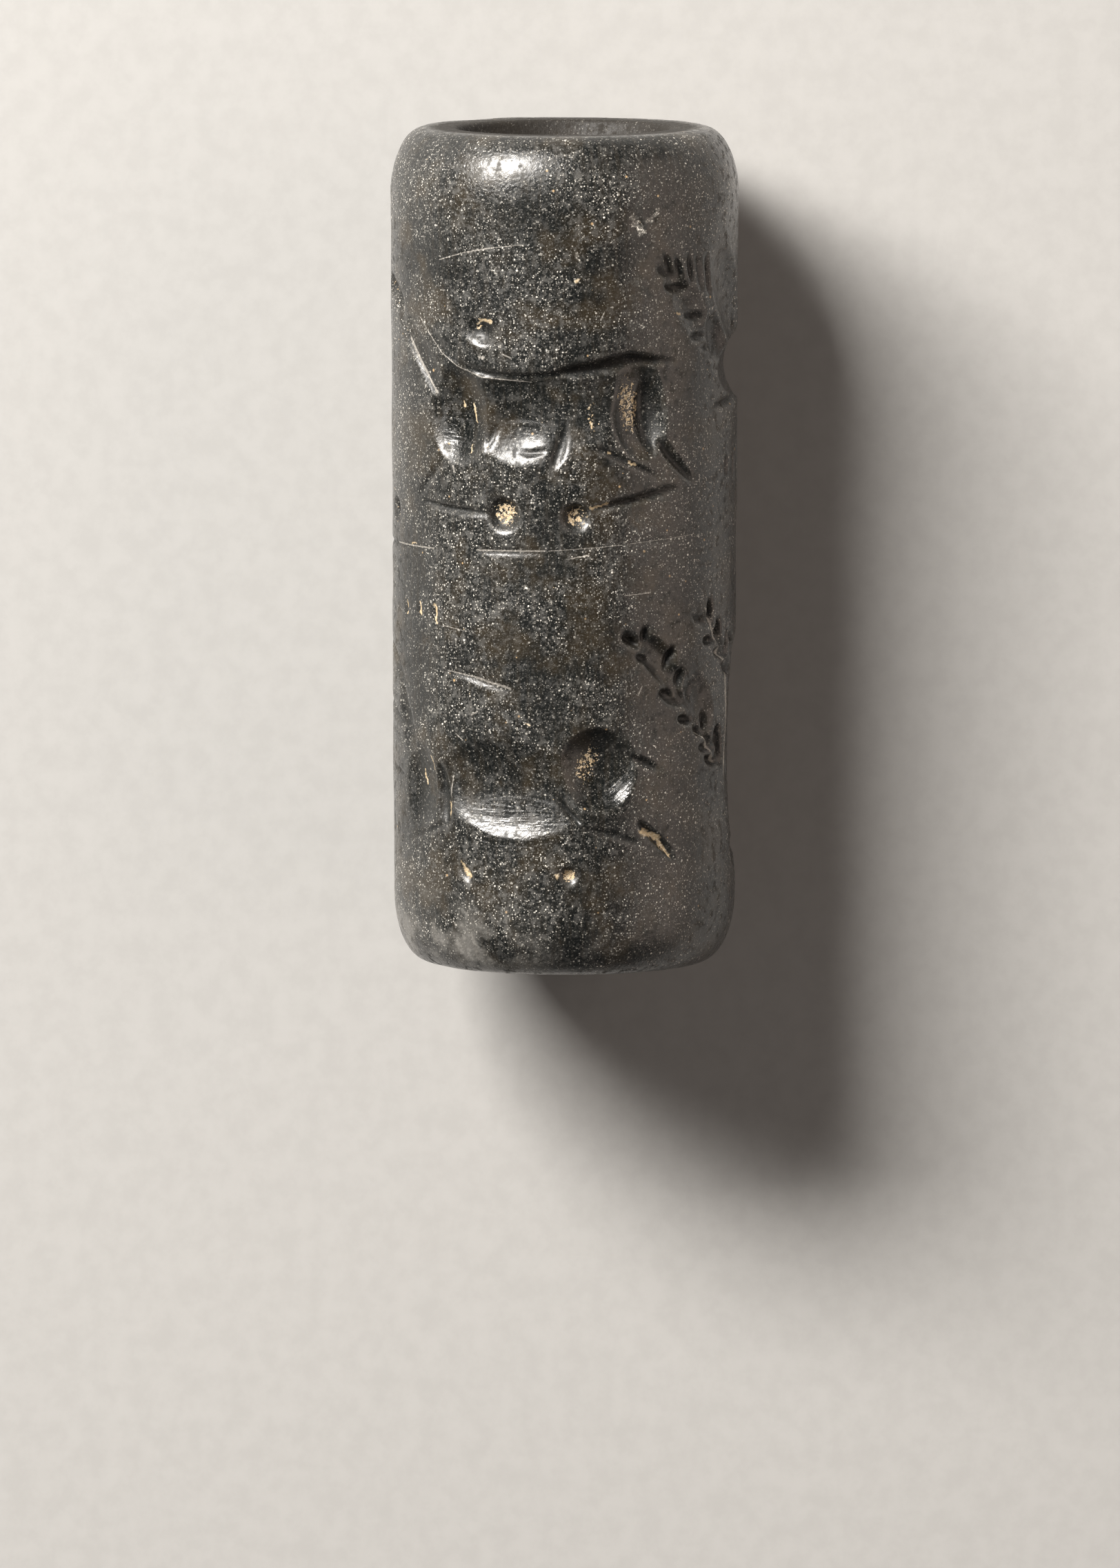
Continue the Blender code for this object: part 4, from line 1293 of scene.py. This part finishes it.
# %% Table
TABLE_DARK = (0.36, 0.355, 0.345)
TABLE_LIGHT = (0.385, 0.38, 0.37)
TABLE_CLOUDS = (900.0, 5.0, 0.3, 0.7)
TABLE_SIZE = 1.6
table, tree, surface = new_material("pale table")
where = add_node(tree, "ShaderNodeTexCoord").outputs["Object"]
paper = cloud(tree, where, *TABLE_CLOUDS)
tree.links.new(mixed(tree, paper, TABLE_DARK, TABLE_LIGHT), surface.inputs["Base Color"])
surface.inputs["Roughness"].default_value = 0.85
bpy.ops.mesh.primitive_plane_add(size=TABLE_SIZE, location=(0.0, 0.0, 0.0))
floor = bpy.context.object
floor.name = "table"
floor.data.materials.append(table)
print("The table is", TABLE_SIZE, "m wide")

# %% Lights
CENTRE = Vector((0.0, 0.0, AXIS_HEIGHT * MM))
PICTURE_RIGHT = Vector((0.0, -1.0, 0.0))
ROOM_COLOUR = (0.95, 0.97, 1.0, 1.0)
ROOM_LIGHT = 0.08


def toward(left, up):
    """Direction that leans left and up in the picture, in degrees from straight above."""
    left, up = math.radians(left), math.radians(up)
    return Vector((math.sin(up), math.sin(left), math.cos(up) * math.cos(left))).normalized()


def panel(name, out, distance, size, radiance, colour):
    """Soft lamp that faces the stone; radiance is how bright its face looks.

    Its first size runs left and right in the picture.
    """
    across = (PICTURE_RIGHT - out * out.dot(PICTURE_RIGHT)).normalized()
    data = bpy.data.lights.new(name, "AREA")
    data.shape = "RECTANGLE"
    data.size, data.size_y = size
    data.energy = radiance * math.pi * size[0] * size[1]
    data.color = colour
    lamp = bpy.data.objects.new(name, data)
    lamp.location = CENTRE + out * distance
    lamp.rotation_euler = Matrix((across, out.cross(across), out)).transposed().to_euler()
    bpy.context.scene.collection.objects.link(lamp)
    print("Lamp", name, "gives", round(data.energy, 2), "W")


WHITE_LIGHT = (1.0, 0.96, 0.91)
WARM_LIGHT = (1.0, 0.82, 0.70)
panel("key", toward(37.0, 39.0), distance=0.45, size=(0.25, 0.13), radiance=64.0, colour=WHITE_LIGHT)
panel("side band", toward(-66.0, 2.0), distance=0.40, size=(0.33, 0.60), radiance=1.2, colour=WARM_LIGHT)
world = bpy.data.worlds.new("soft grey room")
world.use_nodes = True
world.node_tree.nodes["Background"].inputs["Color"].default_value = ROOM_COLOUR
world.node_tree.nodes["Background"].inputs["Strength"].default_value = ROOM_LIGHT
bpy.context.scene.world = world
bpy.context.scene.view_settings.view_transform = "Standard"

# %% Camera
CAMERA_ALONG = 0.0645
CAMERA_HEIGHT = 0.688
AIM_ALONG = -0.0109
AIM_ACROSS = 0.0002
back = Vector((CAMERA_ALONG - AIM_ALONG, 0.0, CAMERA_HEIGHT)).normalized()
up = back.cross(PICTURE_RIGHT)
camera_data = bpy.data.cameras.new("camera")
camera_data.lens = 352.0
camera_data.clip_start = 0.01
camera = bpy.data.objects.new("camera", camera_data)
camera.location = CENTRE + Vector((CAMERA_ALONG, AIM_ACROSS, CAMERA_HEIGHT))
camera.rotation_euler = Matrix((PICTURE_RIGHT, up, back)).transposed().to_euler()
bpy.context.scene.collection.objects.link(camera)
bpy.context.scene.camera = camera
print("The camera looks down from", round(camera.location.z, 3), "m above the table")
